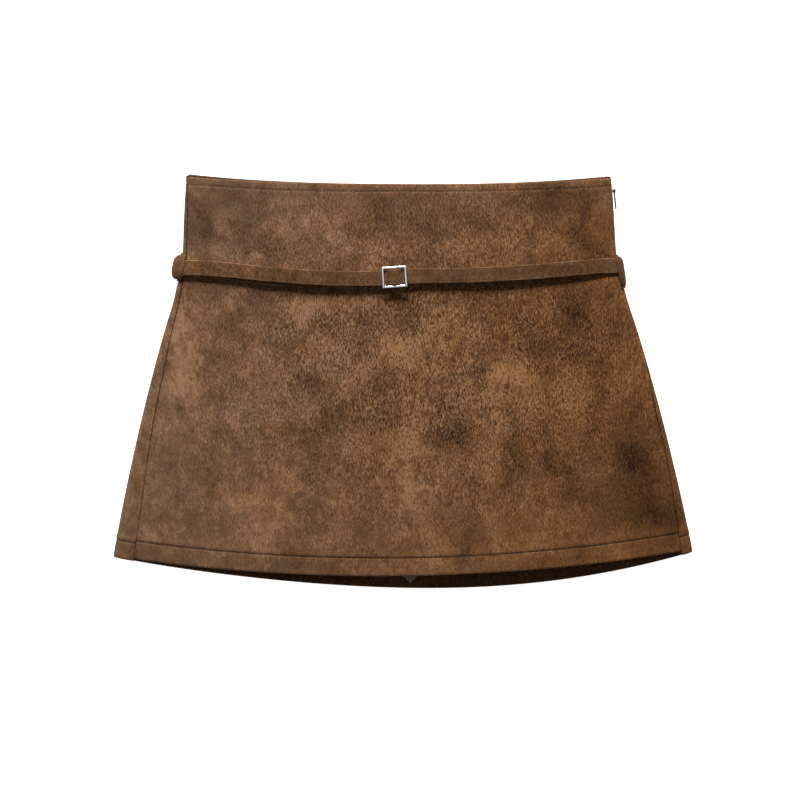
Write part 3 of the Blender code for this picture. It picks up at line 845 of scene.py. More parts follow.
@dataclass(frozen=True)
class ThreadFinish:
    """Sewing thread with a fine twist."""

    name: str
    low: Colour
    high: Colour

    def make(self) -> Material:
        """The finish as a material.

        Returns:
            The new material.
        """
        material, desk, shader = new_material(self.name, self.high)
        place = object_place(desk)
        twist = desk.noise(place, 2600.0, 2.0, 0.6)
        along = desk.noise(place, 160.0, 3.0, 0.6)
        share = desk.total((twist, 1.1), (along, 0.9), (1.0, 0.5))
        desk.feed(shader.inputs["Base Color"], desk.blend(share, self.low, self.high))
        desk.feed(shader.inputs["Roughness"], desk.total((twist, 0.3), (1.0, 0.62)))
        desk.feed(shader.inputs["Normal"], desk.bump(twist, 0.00012, 0.5))
        set_sockets(shader, Specular_IOR_Level=0.35, Sheen_Weight=0.1)
        return material


@dataclass(frozen=True)
class MetalFinish:
    """Metal with rubbed edges and fine scratches."""

    name: str
    base: Colour
    wear_and_highlight: Colour
    gloss: float
    wear: float
    metallic: float = 1.0

    SCRATCH_DEPTH = 0.00002

    def make(self) -> Material:
        """The finish as a material.

        Returns:
            The new material.
        """
        material, desk, shader = new_material(self.name, self.base)
        wear = EdgeWear.use(
            desk, Vector=object_place(desk), Base=self.base, Worn=self.wear_and_highlight,
            Gloss=self.gloss, Wear=self.wear,
        )
        wire(desk, shader, wear, self.SCRATCH_DEPTH, 0.25)
        set_sockets(shader, Metallic=self.metallic)
        return material


@dataclass(frozen=True)
class FloorFinish:
    """The plain pale floor that the skort lies on."""

    name: str = "floor_pale"
    colour: Colour = (0.90, 0.90, 0.90)
    glow: float = 0.92

    def make(self) -> Material:
        """The finish as a material.

        Returns:
            The new material.
        """
        material, desk, shader = new_material(self.name, self.colour)
        cloud = desk.noise(object_place(desk), 3.0, 3.0, 0.5)
        desk.feed(shader.inputs["Roughness"], desk.total((cloud, 0.1), (1.0, 0.85)))
        set_sockets(shader, Base_Color=(*self.colour, 1.0), Specular_IOR_Level=0.1,
                    Emission_Color=(1.0, 1.0, 1.0, 1.0), Emission_Strength=self.glow)
        return material


class Slot(Enum):
    """The record's material slots."""

    SUEDE = "suede"
    BELT = "belt_suede"
    LINING = "lining"
    BUCKLE = "buckle_metal"
    ZIP = "zip_metal"
    LABEL = "label"


@dataclass(frozen=True)
class Finishes:
    """Every finish of the skort."""

    skirt: SuedeFinish = SuedeFinish("suede_skirt", base_tone=0.635, stored=("shade", "nap", "ash"))
    belt: SuedeFinish = SuedeFinish(
        "suede_belt", base_tone=0.50, mottling=0.75, grain=0.55, stored=("shade",), relief=0.00025
    )
    loop: SuedeFinish = SuedeFinish(
        "suede_loop", base_tone=0.49, mottling=0.75, grain=0.55, relief=0.00025
    )
    # a darker copy of the skirt's suede for the turned edges inside: painted shade in the waist and
    # hem openings
    turning: SuedeFinish = SuedeFinish("suede_turning_shaded", base_tone=0.42, mottling=0.5, grain=0.6)
    backing: WovenFinish = WovenFinish(
        "knit_backing", (0.010, 0.009, 0.008), (0.028, 0.024, 0.021), threads=3600.0
    )
    lining: WovenFinish = WovenFinish(
        "woven_lining", (0.016, 0.010, 0.007), (0.052, 0.030, 0.019), sheen=0.1
    )
    label: WovenFinish = WovenFinish(
        "label_tape", (0.22, 0.20, 0.17), (0.36, 0.33, 0.28), threads=7800.0, specular=0.3
    )
    thread: ThreadFinish = ThreadFinish(
        "thread_brown", (0.036, 0.019, 0.011), (0.100, 0.053, 0.028)
    )
    belt_thread: ThreadFinish = ThreadFinish(
        "thread_tan", (0.085, 0.047, 0.024), (0.200, 0.118, 0.066)
    )
    lining_thread: ThreadFinish = ThreadFinish(
        "thread_dark", (0.015, 0.010, 0.007), (0.050, 0.032, 0.022)
    )
    chrome: MetalFinish = MetalFinish(
        "buckle_nickel", (0.80, 0.80, 0.81), (0.93, 0.93, 0.93), gloss=0.13, wear=0.4
    )
    dark_metal: MetalFinish = MetalFinish(
        "zip_dark_metal", (0.018, 0.014, 0.012), (0.16, 0.14, 0.12), gloss=0.52, wear=0.25,
        metallic=0.25,
    )


# Stitches, and everything else that repeats along a line
@dataclass(frozen=True)
class Stitch:
    """Sizes of one repeated bead: its pitch along the line and its own three sizes."""

    pitch: float
    along: float
    across: float
    high: float
    jitter: float = 0.06
    seed: int = 3


class LineOfBeads:
    """Geometry Nodes that set small rounded beads at an even pitch along lines."""

    NAME = "Beads along lines"
    INPUTS = ("Pitch", "Along", "Across", "High", "Jitter")

    def tree(self) -> NodeTree:
        """The tree, made at its first use.

        Returns:
            The node group.
        """
        made = bpy.data.node_groups.get(self.NAME)
        if made is not None:
            return made
        tree = bpy.data.node_groups.new(self.NAME, "GeometryNodeTree")
        face = tree.interface
        face.new_socket("Geometry", in_out="INPUT", socket_type="NodeSocketGeometry")
        for name in self.INPUTS:
            face.new_socket(name, in_out="INPUT", socket_type=FLOAT)
        face.new_socket("Seed", in_out="INPUT", socket_type="NodeSocketInt")
        face.new_socket("Material", in_out="INPUT", socket_type="NodeSocketMaterial")
        face.new_socket("Geometry", in_out="OUTPUT", socket_type="NodeSocketGeometry")
        desk = NodeDesk(tree)
        given = desk.add("NodeGroupInput").outputs
        curve = desk.add("GeometryNodeMeshToCurve", {"Mesh": given["Geometry"]})
        spaced = desk.add("GeometryNodeResampleCurve", mode="LENGTH")
        desk.feed(spaced.inputs["Curve"], curve.outputs[0])
        desk.feed(spaced.inputs["Length"], given["Pitch"])

        ball = {"Segments": 8, "Rings": 5, "Radius": 0.5}
        bead = desk.add("GeometryNodeMeshUVSphere", ball)
        size = desk.add("ShaderNodeCombineXYZ", {
            0: given["Along"], 1: given["Across"], 2: given["High"],
        })
        shaped = desk.add("GeometryNodeTransform", {
            "Geometry": bead.outputs["Mesh"], "Scale": size.outputs[0],
        })

        tangent = desk.add("GeometryNodeInputTangent").outputs[0]
        onward = desk.add("FunctionNodeAlignRotationToVector", {"Vector": tangent}, axis="X")
        up = desk.add("GeometryNodeInputNamedAttribute", {"Name": "up"}, data_type="FLOAT_VECTOR")
        upright = desk.add("FunctionNodeAlignRotationToVector", {
            "Rotation": onward.outputs[0], "Vector": up.outputs["Attribute"],
        }, axis="Z", pivot_axis="X")
        uneven = desk.add("FunctionNodeRandomValue", data_type="FLOAT")
        low, high = [s for s in uneven.inputs if s.enabled and s.name in ("Min", "Max")]
        desk.feed(low, desk.math("SUBTRACT", 1.0, given["Jitter"]))
        desk.feed(high, desk.math("ADD", 1.0, given["Jitter"]))
        desk.feed(next(s for s in uneven.inputs if s.name == "Seed"), given["Seed"])

        beads = desk.add("GeometryNodeInstanceOnPoints", {
            "Points": spaced.outputs[0], "Instance": shaped.outputs[0],
            "Rotation": upright.outputs[0],
            "Scale": next(s for s in uneven.outputs if s.enabled),
        })
        real = desk.add("GeometryNodeRealizeInstances", {0: beads.outputs[0]})
        smooth = desk.add("GeometryNodeSetShadeSmooth", {"Geometry": real.outputs[0]})
        dressed = desk.add("GeometryNodeSetMaterial", {
            "Geometry": smooth.outputs[0], "Material": given["Material"],
        })
        desk.add("NodeGroupOutput", {"Geometry": dressed.outputs[0]})
        return tree

    def lay(
        self, name: str, lines: Sequence[tuple[Points, Points]], stitch: Stitch,
        material: Material,
    ) -> Object:
        """Lays the beads along lines as one plain mesh.

        Args:
            name: the piece's name.
            lines: (points, up vectors) of each line.
            stitch: the sizes of a bead.
            material: what the beads are made of.

        Returns:
            The finished piece, riding on the garment.
        """
        points = np.concatenate([line for line, _ in lines])
        ups = np.concatenate([np.broadcast_to(up, line.shape) for line, up in lines])
        edges, start = [], 0
        for line, _ in lines:
            edges += [(k, k + 1) for k in range(start, start + len(line) - 1)]
            start += len(line)
        mesh = bpy.data.meshes.new(name)
        mesh.from_pydata(points.tolist(), edges, [])
        up = mesh.attributes.new("up", "FLOAT_VECTOR", "POINT")
        up.data.foreach_set("vector", np.ascontiguousarray(ups, np.float32).ravel())
        piece = bpy.data.objects.new(name, mesh)
        bpy.context.scene.collection.objects.link(piece)
        tree = self.tree()
        modifier = piece.modifiers.new("beads", "NODES")
        modifier.node_group = tree
        values = {name: getattr(stitch, name.lower()) for name in (*self.INPUTS, "Seed")}
        values["Material"] = material
        for item in tree.interface.items_tree:
            if item.in_out == "INPUT" and item.name in values:
                modifier[item.identifier] = values[item.name]
        piece.update_tag()
        bpy.context.view_layer.update()
        evaluated = piece.evaluated_get(bpy.context.evaluated_depsgraph_get())
        made = bpy.data.meshes.new_from_object(evaluated)
        piece.modifiers.remove(modifier)
        piece.data = made
        made.name = name
        bpy.data.meshes.remove(mesh)
        if "up" in made.attributes:
            made.attributes.remove(made.attributes["up"])
        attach(piece, GARMENT)
        return piece


BEADS = LineOfBeads()


# Skirt panels
class Edge(Enum):
    """The two edges of a panel that are turned in and topstitched."""

    WAIST = "waist"
    HEM = "hem"


class NapShade:
    """Where the nap is bruised dark or rubbed light, in millimetres across and down; two of the
    patches are painted shade.
    """

    # x, down, half width, half height, turn in degrees, strength (dark below zero)
    PATCHES = (
        # the first patch is painted shade over the band above the belt; the second darkens a broad
        # area on the right
        (0, 36, 210, 42, 0, -0.25), (188, 240, 48, 78, 12, -0.42),
        (-160, 41, 8, 19, 0, -0.8), (-135, 13, 12, 7, 0, -0.4), (-113, 26, 10, 7, 20, -0.4),
        (-129, 42, 9, 7, 0, -0.4), (-111, 55, 30, 7, 0, -0.7), (-12, 26, 16, 9, 0, -0.4),
        (-33, 44, 14, 8, -15, -0.35), (25, 41, 15, 9, 0, -0.4), (66, 39, 14, 8, 0, -0.4),
        (91, 21, 14, 9, 20, -0.45), (128, 17, 23, 11, -10, -0.9), (152, 33, 20, 7, -55, -0.7),
        (156, 58, 19, 8, 35, -0.9), (107, 61, 6, 14, 0, -0.5), (-173, 109, 7, 12, 0, -0.4),
        (-136, 116, 10, 14, 0, -0.4), (-98, 121, 12, 9, 0, -0.5), (-90, 141, 10, 10, 0, -0.4),
        # the patch at 8 across and 108 down is painted shadow under the buckle
        (-62, 121, 14, 9, 0, -0.5), (-17, 120, 34, 10, 4, -0.5), (8, 108, 8, 17, 0, -0.45),
        (64, 102, 12, 12, 0, -0.5), (102, 134, 12, 26, 0, -0.6), (143, 113, 19, 14, 0, -1.0),
        (142, 144, 24, 17, 0, -0.75), (118, 143, 6, 19, 0, -0.5), (173, 127, 8, 17, 0, -0.5),
        (163, 176, 8, 26, 0, -0.5), (-131, 169, 10, 8, 0, -0.35), (-161, 177, 12, 7, 0, -0.3),
        (-73, 167, 10, 10, 0, -0.75), (-59, 194, 9, 12, 0, -0.5), (-38, 145, 10, 9, 0, -0.4),
        (-19, 170, 10, 9, 0, -0.5), (-20, 193, 13, 7, -40, -0.5), (39, 212, 16, 8, -20, -0.95),
        (36, 191, 10, 8, 0, -0.6), (20, 208, 10, 7, 0, -0.5), (55, 216, 10, 7, 0, -0.5),
        (64, 167, 10, 12, 0, -0.4), (93, 229, 10, 30, 0, -0.7), (117, 205, 8, 14, 0, -0.5),
        (121, 234, 10, 12, 0, -0.85), (137, 244, 9, 9, 0, -0.6), (141, 262, 20, 8, 0, -0.5),
        (154, 209, 9, 14, 0, -0.4), (191, 193, 7, 12, 0, -0.5), (188, 232, 13, 18, 0, -1.0),
        (203, 251, 10, 12, 0, -0.6), (201, 277, 20, 15, 10, -1.0), (223, 282, 8, 12, 0, -0.6),
        (-72, 239, 7, 17, 0, -0.45), (-75, 268, 9, 12, 0, -0.45), (-85, 315, 12, 5, 0, -0.4),
        (-60, 313, 11, 5, 0, -0.4), (-26, 307, 14, 6, 0, -0.5), (49, 309, 6, 14, 0, -0.75),
        (59, 278, 7, 17, 0, -0.4), (120, 317, 12, 5, 0, -0.5), (141, 310, 8, 8, 0, -0.5),
        (-195, 275, 11, 8, 0, -0.3), (-142, 279, 14, 8, 0, -0.3), (223, 299, 8, 7, 0, -0.5),
        (-94, 42, 20, 12, 0, 0.55), (-57, 39, 18, 12, 0, 0.45), (-177, 152, 13, 33, 0, 0.75),
        (-181, 124, 11, 14, 0, 0.8), (93, 164, 19, 17, 0, 0.8), (-1, 142, 18, 15, 0, 0.55),
        (6, 240, 20, 32, 0, 0.5), (-105, 264, 26, 30, 0, 0.45), (32, 134, 17, 14, 0, 0.45),
        (-74, 109, 18, 12, 0, 0.45), (177, 316, 20, 7, 0, 0.5), (-212, 291, 15, 7, 0, 0.5),
    )

    # turns per millimetre across and down, phase, and millimetres of push
    WARPS = ((0.19, 0.07, 0.3, 2.6), (-0.08, 0.23, 1.7, 2.4), (0.41, -0.33, 0.9, 1.4))

    def at(self, x: Points, down: Points) -> Points:
        """The shade of the nap.

        Args:
            x: places across, in metres.
            down: depths below the waist level.

        Returns:
            A number for each place: about -1 where dark, 1 where light.
        """
        total = np.zeros(np.broadcast(x, down).shape)
        across, along = x / MM, down / MM
        for kx, ky, phase, push in self.WARPS:
            swing = np.sin(kx * across + ky * along + phase)
            across, along = across + push * swing, along - push * np.cos(2.1 * swing + phase)
        for px, py, wide, high, turn, strength in self.PATCHES:
            angle = math.radians(turn)
            dx, dy = across - px, along - py
            u = dx * math.cos(angle) + dy * math.sin(angle)
            v = -dx * math.sin(angle) + dy * math.cos(angle)
            total += strength * np.exp(-((u / wide) ** 2 + (v / high) ** 2))
        return total


@dataclass
class NapWearAndLightCast:
    """How strong the nap's texture is, and how strong a painted cool light cast is, place by place.
    """

    x: Points
    down: Points

    ROUGH_AT = (0.035, 0.150)
    ROUGH_SPREAD = (0.190, 0.140)
    SMOOTHEST = 0.20
    COOL_CAST = 0.36
    COOL_CAST_TO_LEFT = 2.3
    COOL_CAST_AT_WAIST = 0.26
    WAIST_CAST_ENDS = 0.090

    def strength(self) -> Points:
        """Strong in the middle, and pressed smooth towards the lower left and the waist.

        Returns:
            A number for each place, from 0 to 1.
        """
        across = bell(self.x - self.ROUGH_AT[0], self.ROUGH_SPREAD[0])
        along = bell(self.down - self.ROUGH_AT[1], self.ROUGH_SPREAD[1])
        return self.SMOOTHEST + (1.0 - self.SMOOTHEST) * across * along

    def ash(self) -> Points:
        """A painted cool light cast, stronger towards the left side and the waist."""
        near_waist = 1.0 - eased(self.down / self.WAIST_CAST_ENDS)
        return self.COOL_CAST - self.COOL_CAST_TO_LEFT * self.x + self.COOL_CAST_AT_WAIST * near_waist


class ClothRelief:
    """The small unevenness of cloth that lies flat: broad waves, puckers and soft creases."""

    # along X and along down in radians per metre, phase, height in millimetres
    WAVES = (
        (31.0, 9.0, 0.4, 0.22), (-14.0, 37.0, 1.9, 0.18), (52.0, -21.0, 3.1, 0.13),
        (23.0, 61.0, 4.4, 0.10), (88.0, 34.0, 0.9, 0.06), (-71.0, 83.0, 2.6, 0.05),
    )
    # x, down, half length, half width in millimetres, turn in degrees, height in millimetres
    CREASES = (
        (150, 40, 36, 9, 38, 0.45), (-150, 45, 30, 8, -32, 0.35), (-95, 62, 60, 6, 3, 0.30),
        (60, 60, 70, 6, -2, 0.30), (190, 235, 60, 12, 78, 0.45), (-190, 230, 70, 12, 104, 0.35),
        (90, 250, 60, 14, 86, 0.30), (-60, 270, 60, 14, 95, 0.28), (140, 130, 50, 9, 20, -0.30),
        (5, 112, 55, 8, -4, -0.25),
    )

    # pitch of the puckers and how far it drifts; height in millimetres and spread at each edge
    PUCKERS = (0.0163, 0.031)
    HEM_PUCKER = (0.13, 0.0065)
    WAIST_PUCKER = (0.08, 0.0045)

    def at(self, x: Points, down: Points, to_waist: Points, to_hem: Points) -> Points:
        """How far the cloth stands out.

        Args:
            x: places across.
            down: depths below the waist level.
            to_waist: distances from the waist edge.
            to_hem: distances from the hem edge.

        Returns:
            Heights over the plain form.
        """
        total = np.zeros(np.broadcast(x, down).shape)
        for kx, ky, phase, height in self.WAVES:
            total += height * np.sin(kx * x + ky * down + phase)
        for px, py, long, wide, turn, height in self.CREASES:
            angle = math.radians(turn)
            dx, dy = x / MM - px, down / MM - py
            along = dx * math.cos(angle) + dy * math.sin(angle)
            across = -dx * math.sin(angle) + dy * math.cos(angle)
            total += height * np.exp(-((along / long) ** 2 + (across / wide) ** 2))
        pitch, drift = self.PUCKERS
        beat = np.sin(2.0 * math.pi * x / pitch + 2.0 * np.sin(x / drift))
        for (height, spread), away in ((self.HEM_PUCKER, to_hem - HEM_TURNING),
                                       (self.WAIST_PUCKER, to_waist - WAIST_TURNING)):
            total += height * beat * bell(away, spread)
        return total * MM


@dataclass
class SkirtPanel:
    """One skirt panel: a closed shell of suede with turned, topstitched edges."""

    name: str
    is_front: bool
    cut: PanelCut
    flat_columns: int = 82
    fold_columns: int = 16
    middle_rows: int = 118
    trough: float = 0.00034
    puff: float = 0.00018
    seam_round: float = 0.0006
    rim_painted_shade: float = 1.1
    seam_shade: float = 0.6

    WAIST_STEPS = (2.0, 3.1, 4.1, 4.9, 5.4, 5.8, 6.1, 6.4, 6.7, 7.0, 7.4, 8.1, 9.4, 12.0)
    HEM_STEPS = (2.4, 4.4, 6.6, 8.8, 10.8, 12.2, 13.0, 13.5, 13.9, 14.15, 14.4, 14.65, 14.9, 15.3,
                 16.0, 17.2, 19.0, 21.5)
    SEAM_STEPS = (0.0, 0.08, 0.2, 0.36, 0.6, 1.1, 2.0, 3.4, 5.4)
    ROLL = 5
    # distance from the edge, width and strength of each soft ridge beside the stitches
    HEM_PUFFS = ((HEM_TURNING * 0.62, 0.0046, 1.0), (HEM_TURNING + 0.0026, 0.0024, 2.6))
    WAIST_PUFFS = ((WAIST_TURNING * 0.55, 0.0024, 1.0), (WAIST_TURNING + 0.0018, 0.0014, 1.2))
    GROOVE_WIDTH = 0.0007
    HEM_GROOVE = 1.5
    SEAM_LINE = 0.0007
    SEAM_FADE = 0.6
    BACK_SINK = 0.0004
    BACK_SHADE = 0.6
    TROUGH_INSIDE = 0.4
    SINK_INSIDE = 0.3
    # where each soft change starts and how far it takes
    SEAM_CALM = (0.002, 0.016)
    SIDE_CALM = (0.004, 0.020)
    FLAT_UNDER = (0.002, 0.006)
    FOLD_TURN = (0.0022, 0.0035)
    RIM_FADE = (0.001, 0.003)
    SEAM_WORN = (0.20, 0.05)

    def reaches(self, side: float, down: Points) -> Points:
        """Places across one half of the panel, from the middle to the seam.

        Args:
            side: -1 for the left half, 1 for the right half.
            down: depths, one for each row, in a column.

        Returns:
            One row of reaches for each depth.
        """
        close = np.asarray(self.SEAM_STEPS[::-1]) * MM
        middle, seam = FORM.to_middle(down), FORM.seam(side, down)
        if self.is_front:
            seam = seam + SEAM_GAP / 2.0
            spread = np.linspace(0.0, 1.0, self.flat_columns, endpoint=False)
            flat = middle + (seam + close[0] - middle) * spread
            return np.concatenate([flat, seam + close], axis=-1)
        seam = seam - SEAM_GAP / 2.0
        quarter = FORM.quarter(down)
        flat = -middle + (middle - quarter) * np.linspace(0.0, 1.0, self.flat_columns, False)
        turn = -quarter + (seam - close[0] + quarter) * np.linspace(0, 1, self.fold_columns, False)
        return np.concatenate([flat, turn, seam - close], axis=-1)

    def rows(self) -> tuple[Points, Points, Points]:
        """The rows of the shell, as a loop over the outer face and back inside.

        Returns:
            For each row of the outer face: its distance from the waist edge, its share of the
            way to the hem and its distance from the hem; two of the three are zero.
        """
        turn = np.linspace(0.0, math.pi / 2.0, self.ROLL)
        roll = TURNED / 2.0 * (1.0 - np.cos(turn))
        waist = np.concatenate([roll, np.asarray(self.WAIST_STEPS) * MM])
        hem = np.concatenate([roll, np.asarray(self.HEM_STEPS) * MM])[::-1]
        middle = np.arange(1, self.middle_rows) / self.middle_rows
        zeros = [np.zeros(len(part)) for part in (waist, middle, hem)]
        from_waist = np.concatenate([waist, zeros[1], zeros[2]])
        share = np.concatenate([zeros[0], middle, zeros[2] + 1.0])
        from_hem = np.concatenate([zeros[0], zeros[1], hem])
        return from_waist, share, from_hem

    def grid(self) -> tuple[Points, Points, Points, Points, Points, Points]:
        """Places of the shell's grid.

        Returns:
            Side, reach, depth below the waist level, distance from the waist edge, distance from
            the hem edge, and distance from the nearer seam, each a row by column array.
        """
        from_waist, share, from_hem = (part[:, None] for part in self.rows())
        halves = []
        for side in (-1.0, 1.0):
            sample = self.reaches(side, np.array([[SkirtForm.SHARE_AT]]))
            out = side * FORM.share(side, sample)
            waist, hem = self.cut.waist_edge(out), self.cut.hem_edge(out)
            top = waist + self.WAIST_STEPS[-1] * MM
            low = hem - self.HEM_STEPS[-1] * MM
            down = np.where(share == 0.0, waist + from_waist, top + (low - top) * share)
            down = np.where(share == 1.0, hem - from_hem, down)
            reach = np.empty_like(down)
            for k in range(down.shape[1]):
                reach[:, k] = self.reaches(side, down[:, k][:, None])[:, k]
            near = np.abs(reach - FORM.seam(side, down))
            halves.append([np.full_like(down, side), reach, down, down - waist, hem - down, near])
        return tuple(np.concatenate([left[:, ::-1][:, :-1], right], axis=1)
                     for left, right in zip(*halves))

    def build(self, materials: Sequence[Material]) -> Object:
        """Builds the panel.

        Args:
            materials: of the outer face, the cloth's back and the turned edge inside, which is
                painted darker as shade.

        Returns:
            The panel's object.
        """
        side, reach, down, to_waist, to_hem, near = self.grid()
        plain = FORM.skin(side, reach, down, 0.0 * reach)[..., 0]
        relief = ClothRelief().at(plain, down, to_waist, to_hem)
        calm = ramped(near, *self.SEAM_CALM)
        if not self.is_front:
            calm = calm * ramped(FORM.half_width.at(down) - np.abs(plain), *self.SIDE_CALM)
            relief = np.minimum(0.0, relief - self.BACK_SINK)
        relief = relief * calm
        puff = np.zeros_like(down)
        for puffs, from_edge in ((self.HEM_PUFFS, to_hem), (self.WAIST_PUFFS, to_waist)):
            for place, width, strength in puffs:
                puff += self.puff * strength * bell(from_edge - place, width)
        trough = self.HEM_GROOVE * bell(to_hem - HEM_TURNING, self.GROOVE_WIDTH)
        trough = self.trough * (trough + bell(to_waist - WAIST_TURNING, self.GROOVE_WIDTH))
        if not self.is_front:
            flat_below = ramped(np.abs(reach), *self.FLAT_UNDER) * (reach < 0.0)
            puff = puff * (1.0 - flat_below)
        radius = self.seam_round
        short = np.clip(radius - near, 0.0, radius)
        seam_sink = radius - np.sqrt(np.maximum(0.0, radius**2 - short**2))
        outer = trough - puff - relief + seam_sink
        edge = np.minimum(to_waist, to_hem)
        tip = TURNED / 2.0
        inward = np.sqrt(np.maximum(0.0, tip**2 - np.clip(tip - edge, 0.0, tip) ** 2))
        outer = outer + tip - inward
        single = [ramped(away, turning - STITCH_SPREAD, 2.0 * STITCH_SPREAD)
                  for away, turning in ((to_hem, HEM_TURNING), (to_waist, WAIST_TURNING))]
        thick = CLOTH + (TURNED - CLOTH) * (1.0 - np.minimum(*single))
        inner = thick - relief + self.TROUGH_INSIDE * trough
        inner = inner - (tip - inward) - self.SINK_INSIDE * seam_sink
        points = [FORM.skin(side, reach, down, depth) for depth in (outer, inner)]
        return self.shell(points, materials, to_waist, to_hem, near)

    def shell(
        self, points: list[Points], materials: Sequence[Material],
        to_waist: Points, to_hem: Points, near: Points,
    ) -> Object:
        """Closes the outer and the inner grid into one shell and dresses it.

        Args:
            points: the outer and the inner grid.
            materials: of the outer face, the cloth's back and the turned edge inside, which is
                painted darker as shade.
            to_waist: distances from the waist edge.
            to_hem: distances from the hem edge.
            near: distances from the nearer seam.

        Returns:
            The panel's object.
        """
        outer, inner = points
        rows, columns = outer.shape[:2]
        number = np.arange(rows * columns).reshape(rows, columns)
        inside = np.full((rows, columns), -1)
        inside[1:-1] = rows * columns + np.arange((rows - 2) * columns).reshape(rows - 2, columns)
        inside[0], inside[-1] = number[0], number[-1]
        vertices = np.concatenate([outer.reshape(-1, 3), inner[1:-1].reshape(-1, 3)])
        faces, slots = [], []
        for grid, is_inner in ((number, False), (inside, True)):
            faces += grid_faces(grid)
            bare = (to_waist[:-1, :-1] > WAIST_TURNING) & (to_hem[:-1, :-1] > HEM_TURNING)
            slots += (np.where(bare, 1, 2) * is_inner).ravel().tolist()
        for column in (0, columns - 1):
            for r in range(rows - 1):
                ring = [number[r, column], number[r + 1, column],
                        inside[r + 1, column], inside[r, column]]
                faces.append(tuple(dict.fromkeys(int(k) for k in ring)))
                slots.append(0)
        piece = make_piece(self.name, vertices, faces, materials, slots, sharp=None)
        shade = NapShade().at(vertices[:, 0], MIDDLE - vertices[:, 1])
        if not self.is_front:
            turned = ramped(vertices[:, 2], *self.FOLD_TURN)
            mirrored = self.BACK_SHADE * NapShade().at(-vertices[:, 0], MIDDLE - vertices[:, 1])
            shade = mirrored + (shade - mirrored) * turned
            # painted shade inside the waist opening: the back panel is darkened along its waist
            # edge
            from_edge = np.concatenate([to_waist.ravel(), to_waist[1:-1].ravel()])
            shade = shade - self.rim_painted_shade * (1.0 - ramped(from_edge, *self.RIM_FADE))
        from_seam = np.concatenate([near.ravel(), near[1:-1].ravel()])
        kept = 1.0 - self.SEAM_FADE * ramped(MIDDLE - vertices[:, 1], *self.SEAM_WORN)
        shade = shade - self.seam_shade * kept * bell(from_seam, self.SEAM_LINE)
        set_values(piece, "shade", shade)
        wear = NapWearAndLightCast(vertices[:, 0], MIDDLE - vertices[:, 1])
        set_values(piece, "nap", wear.strength())
        # a painted cool light cast, stored as 'ash'
        set_values(piece, "ash", wear.ash())
        return piece

    def edge_line(self, edge: Edge, measure: float, sunk: float) -> tuple[Points, Points]:
        """A line on the outer face that follows the waist or the hem edge.

        Args:
            edge: the edge that the line follows.
            measure: distance from that edge.
            sunk: how far under the plain form it lies.

        Returns:
            Points, and the vectors out of the cloth.
        """
        lines = []
        for side in (-1.0, 1.0):
            sample = self.reaches(side, np.array([[SkirtForm.SHARE_AT]]))
            out = side * FORM.share(side, sample)
            if edge is Edge.WAIST:
                down = (self.cut.waist_edge(out) + measure)[0]
            else:
                down = (self.cut.hem_edge(out) - measure)[0]
            reach = np.array([self.reaches(side, np.array([[d]]))[0, k]
                              for k, d in enumerate(down)])
            faces = [FORM.skin(side, reach, down, np.full_like(down, depth))
                     for depth in (sunk, sunk - 0.001)]
            keep = slice(None, -4)
            halves = [face[keep] for face in faces]
            lines.append([half[::-1][:-1] if side < 0.0 else half for half in halves])
        face, proud = (np.concatenate([lines[0][k], lines[1][k]]) for k in (0, 1))
        return face, unit(proud - face)


class Skirt:
    """The two suede panels and their topstitching."""

    STITCH = Stitch(pitch=0.0030, along=0.0023, across=0.00050, high=0.00042)
    STITCH_DEPTH = 0.55

    def __init__(self) -> None:
        """Sets the sizes of both panels."""
        self.front = SkirtPanel("skirt_front", True, FRONT_CUT)
        self.back = SkirtPanel("skirt_back", False, BACK_CUT)

    def build(self, finishes: Finishes) -> None:
        """Builds and dresses both panels and their stitches.

        Args:
            finishes: every finish of the skort.
        """
        materials = [finish.make() for finish in
                     (finishes.skirt, finishes.backing, finishes.turning)]
        thread = finishes.thread.make()
        front = self.front.build(materials)
        back = self.back.build(materials)
        for piece, node in ((front, "front_panel"), (back, "back_panel")):
            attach(piece, GARMENT)
            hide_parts(node)
        lines = []
        for panel in (self.front, self.back):
            sunk = panel.trough * self.STITCH_DEPTH
            lines.append(panel.edge_line(Edge.WAIST, WAIST_TURNING, sunk))
            lines.append(panel.edge_line(Edge.HEM, HEM_TURNING, sunk))
        front_lines = BEADS.lay("topstitch_front", lines[:2], self.STITCH, thread)
        back_lines = BEADS.lay("topstitch_back", lines[2:], self.STITCH, thread)
        LOG.info("skirt: front and back panels with waist and hem topstitching")


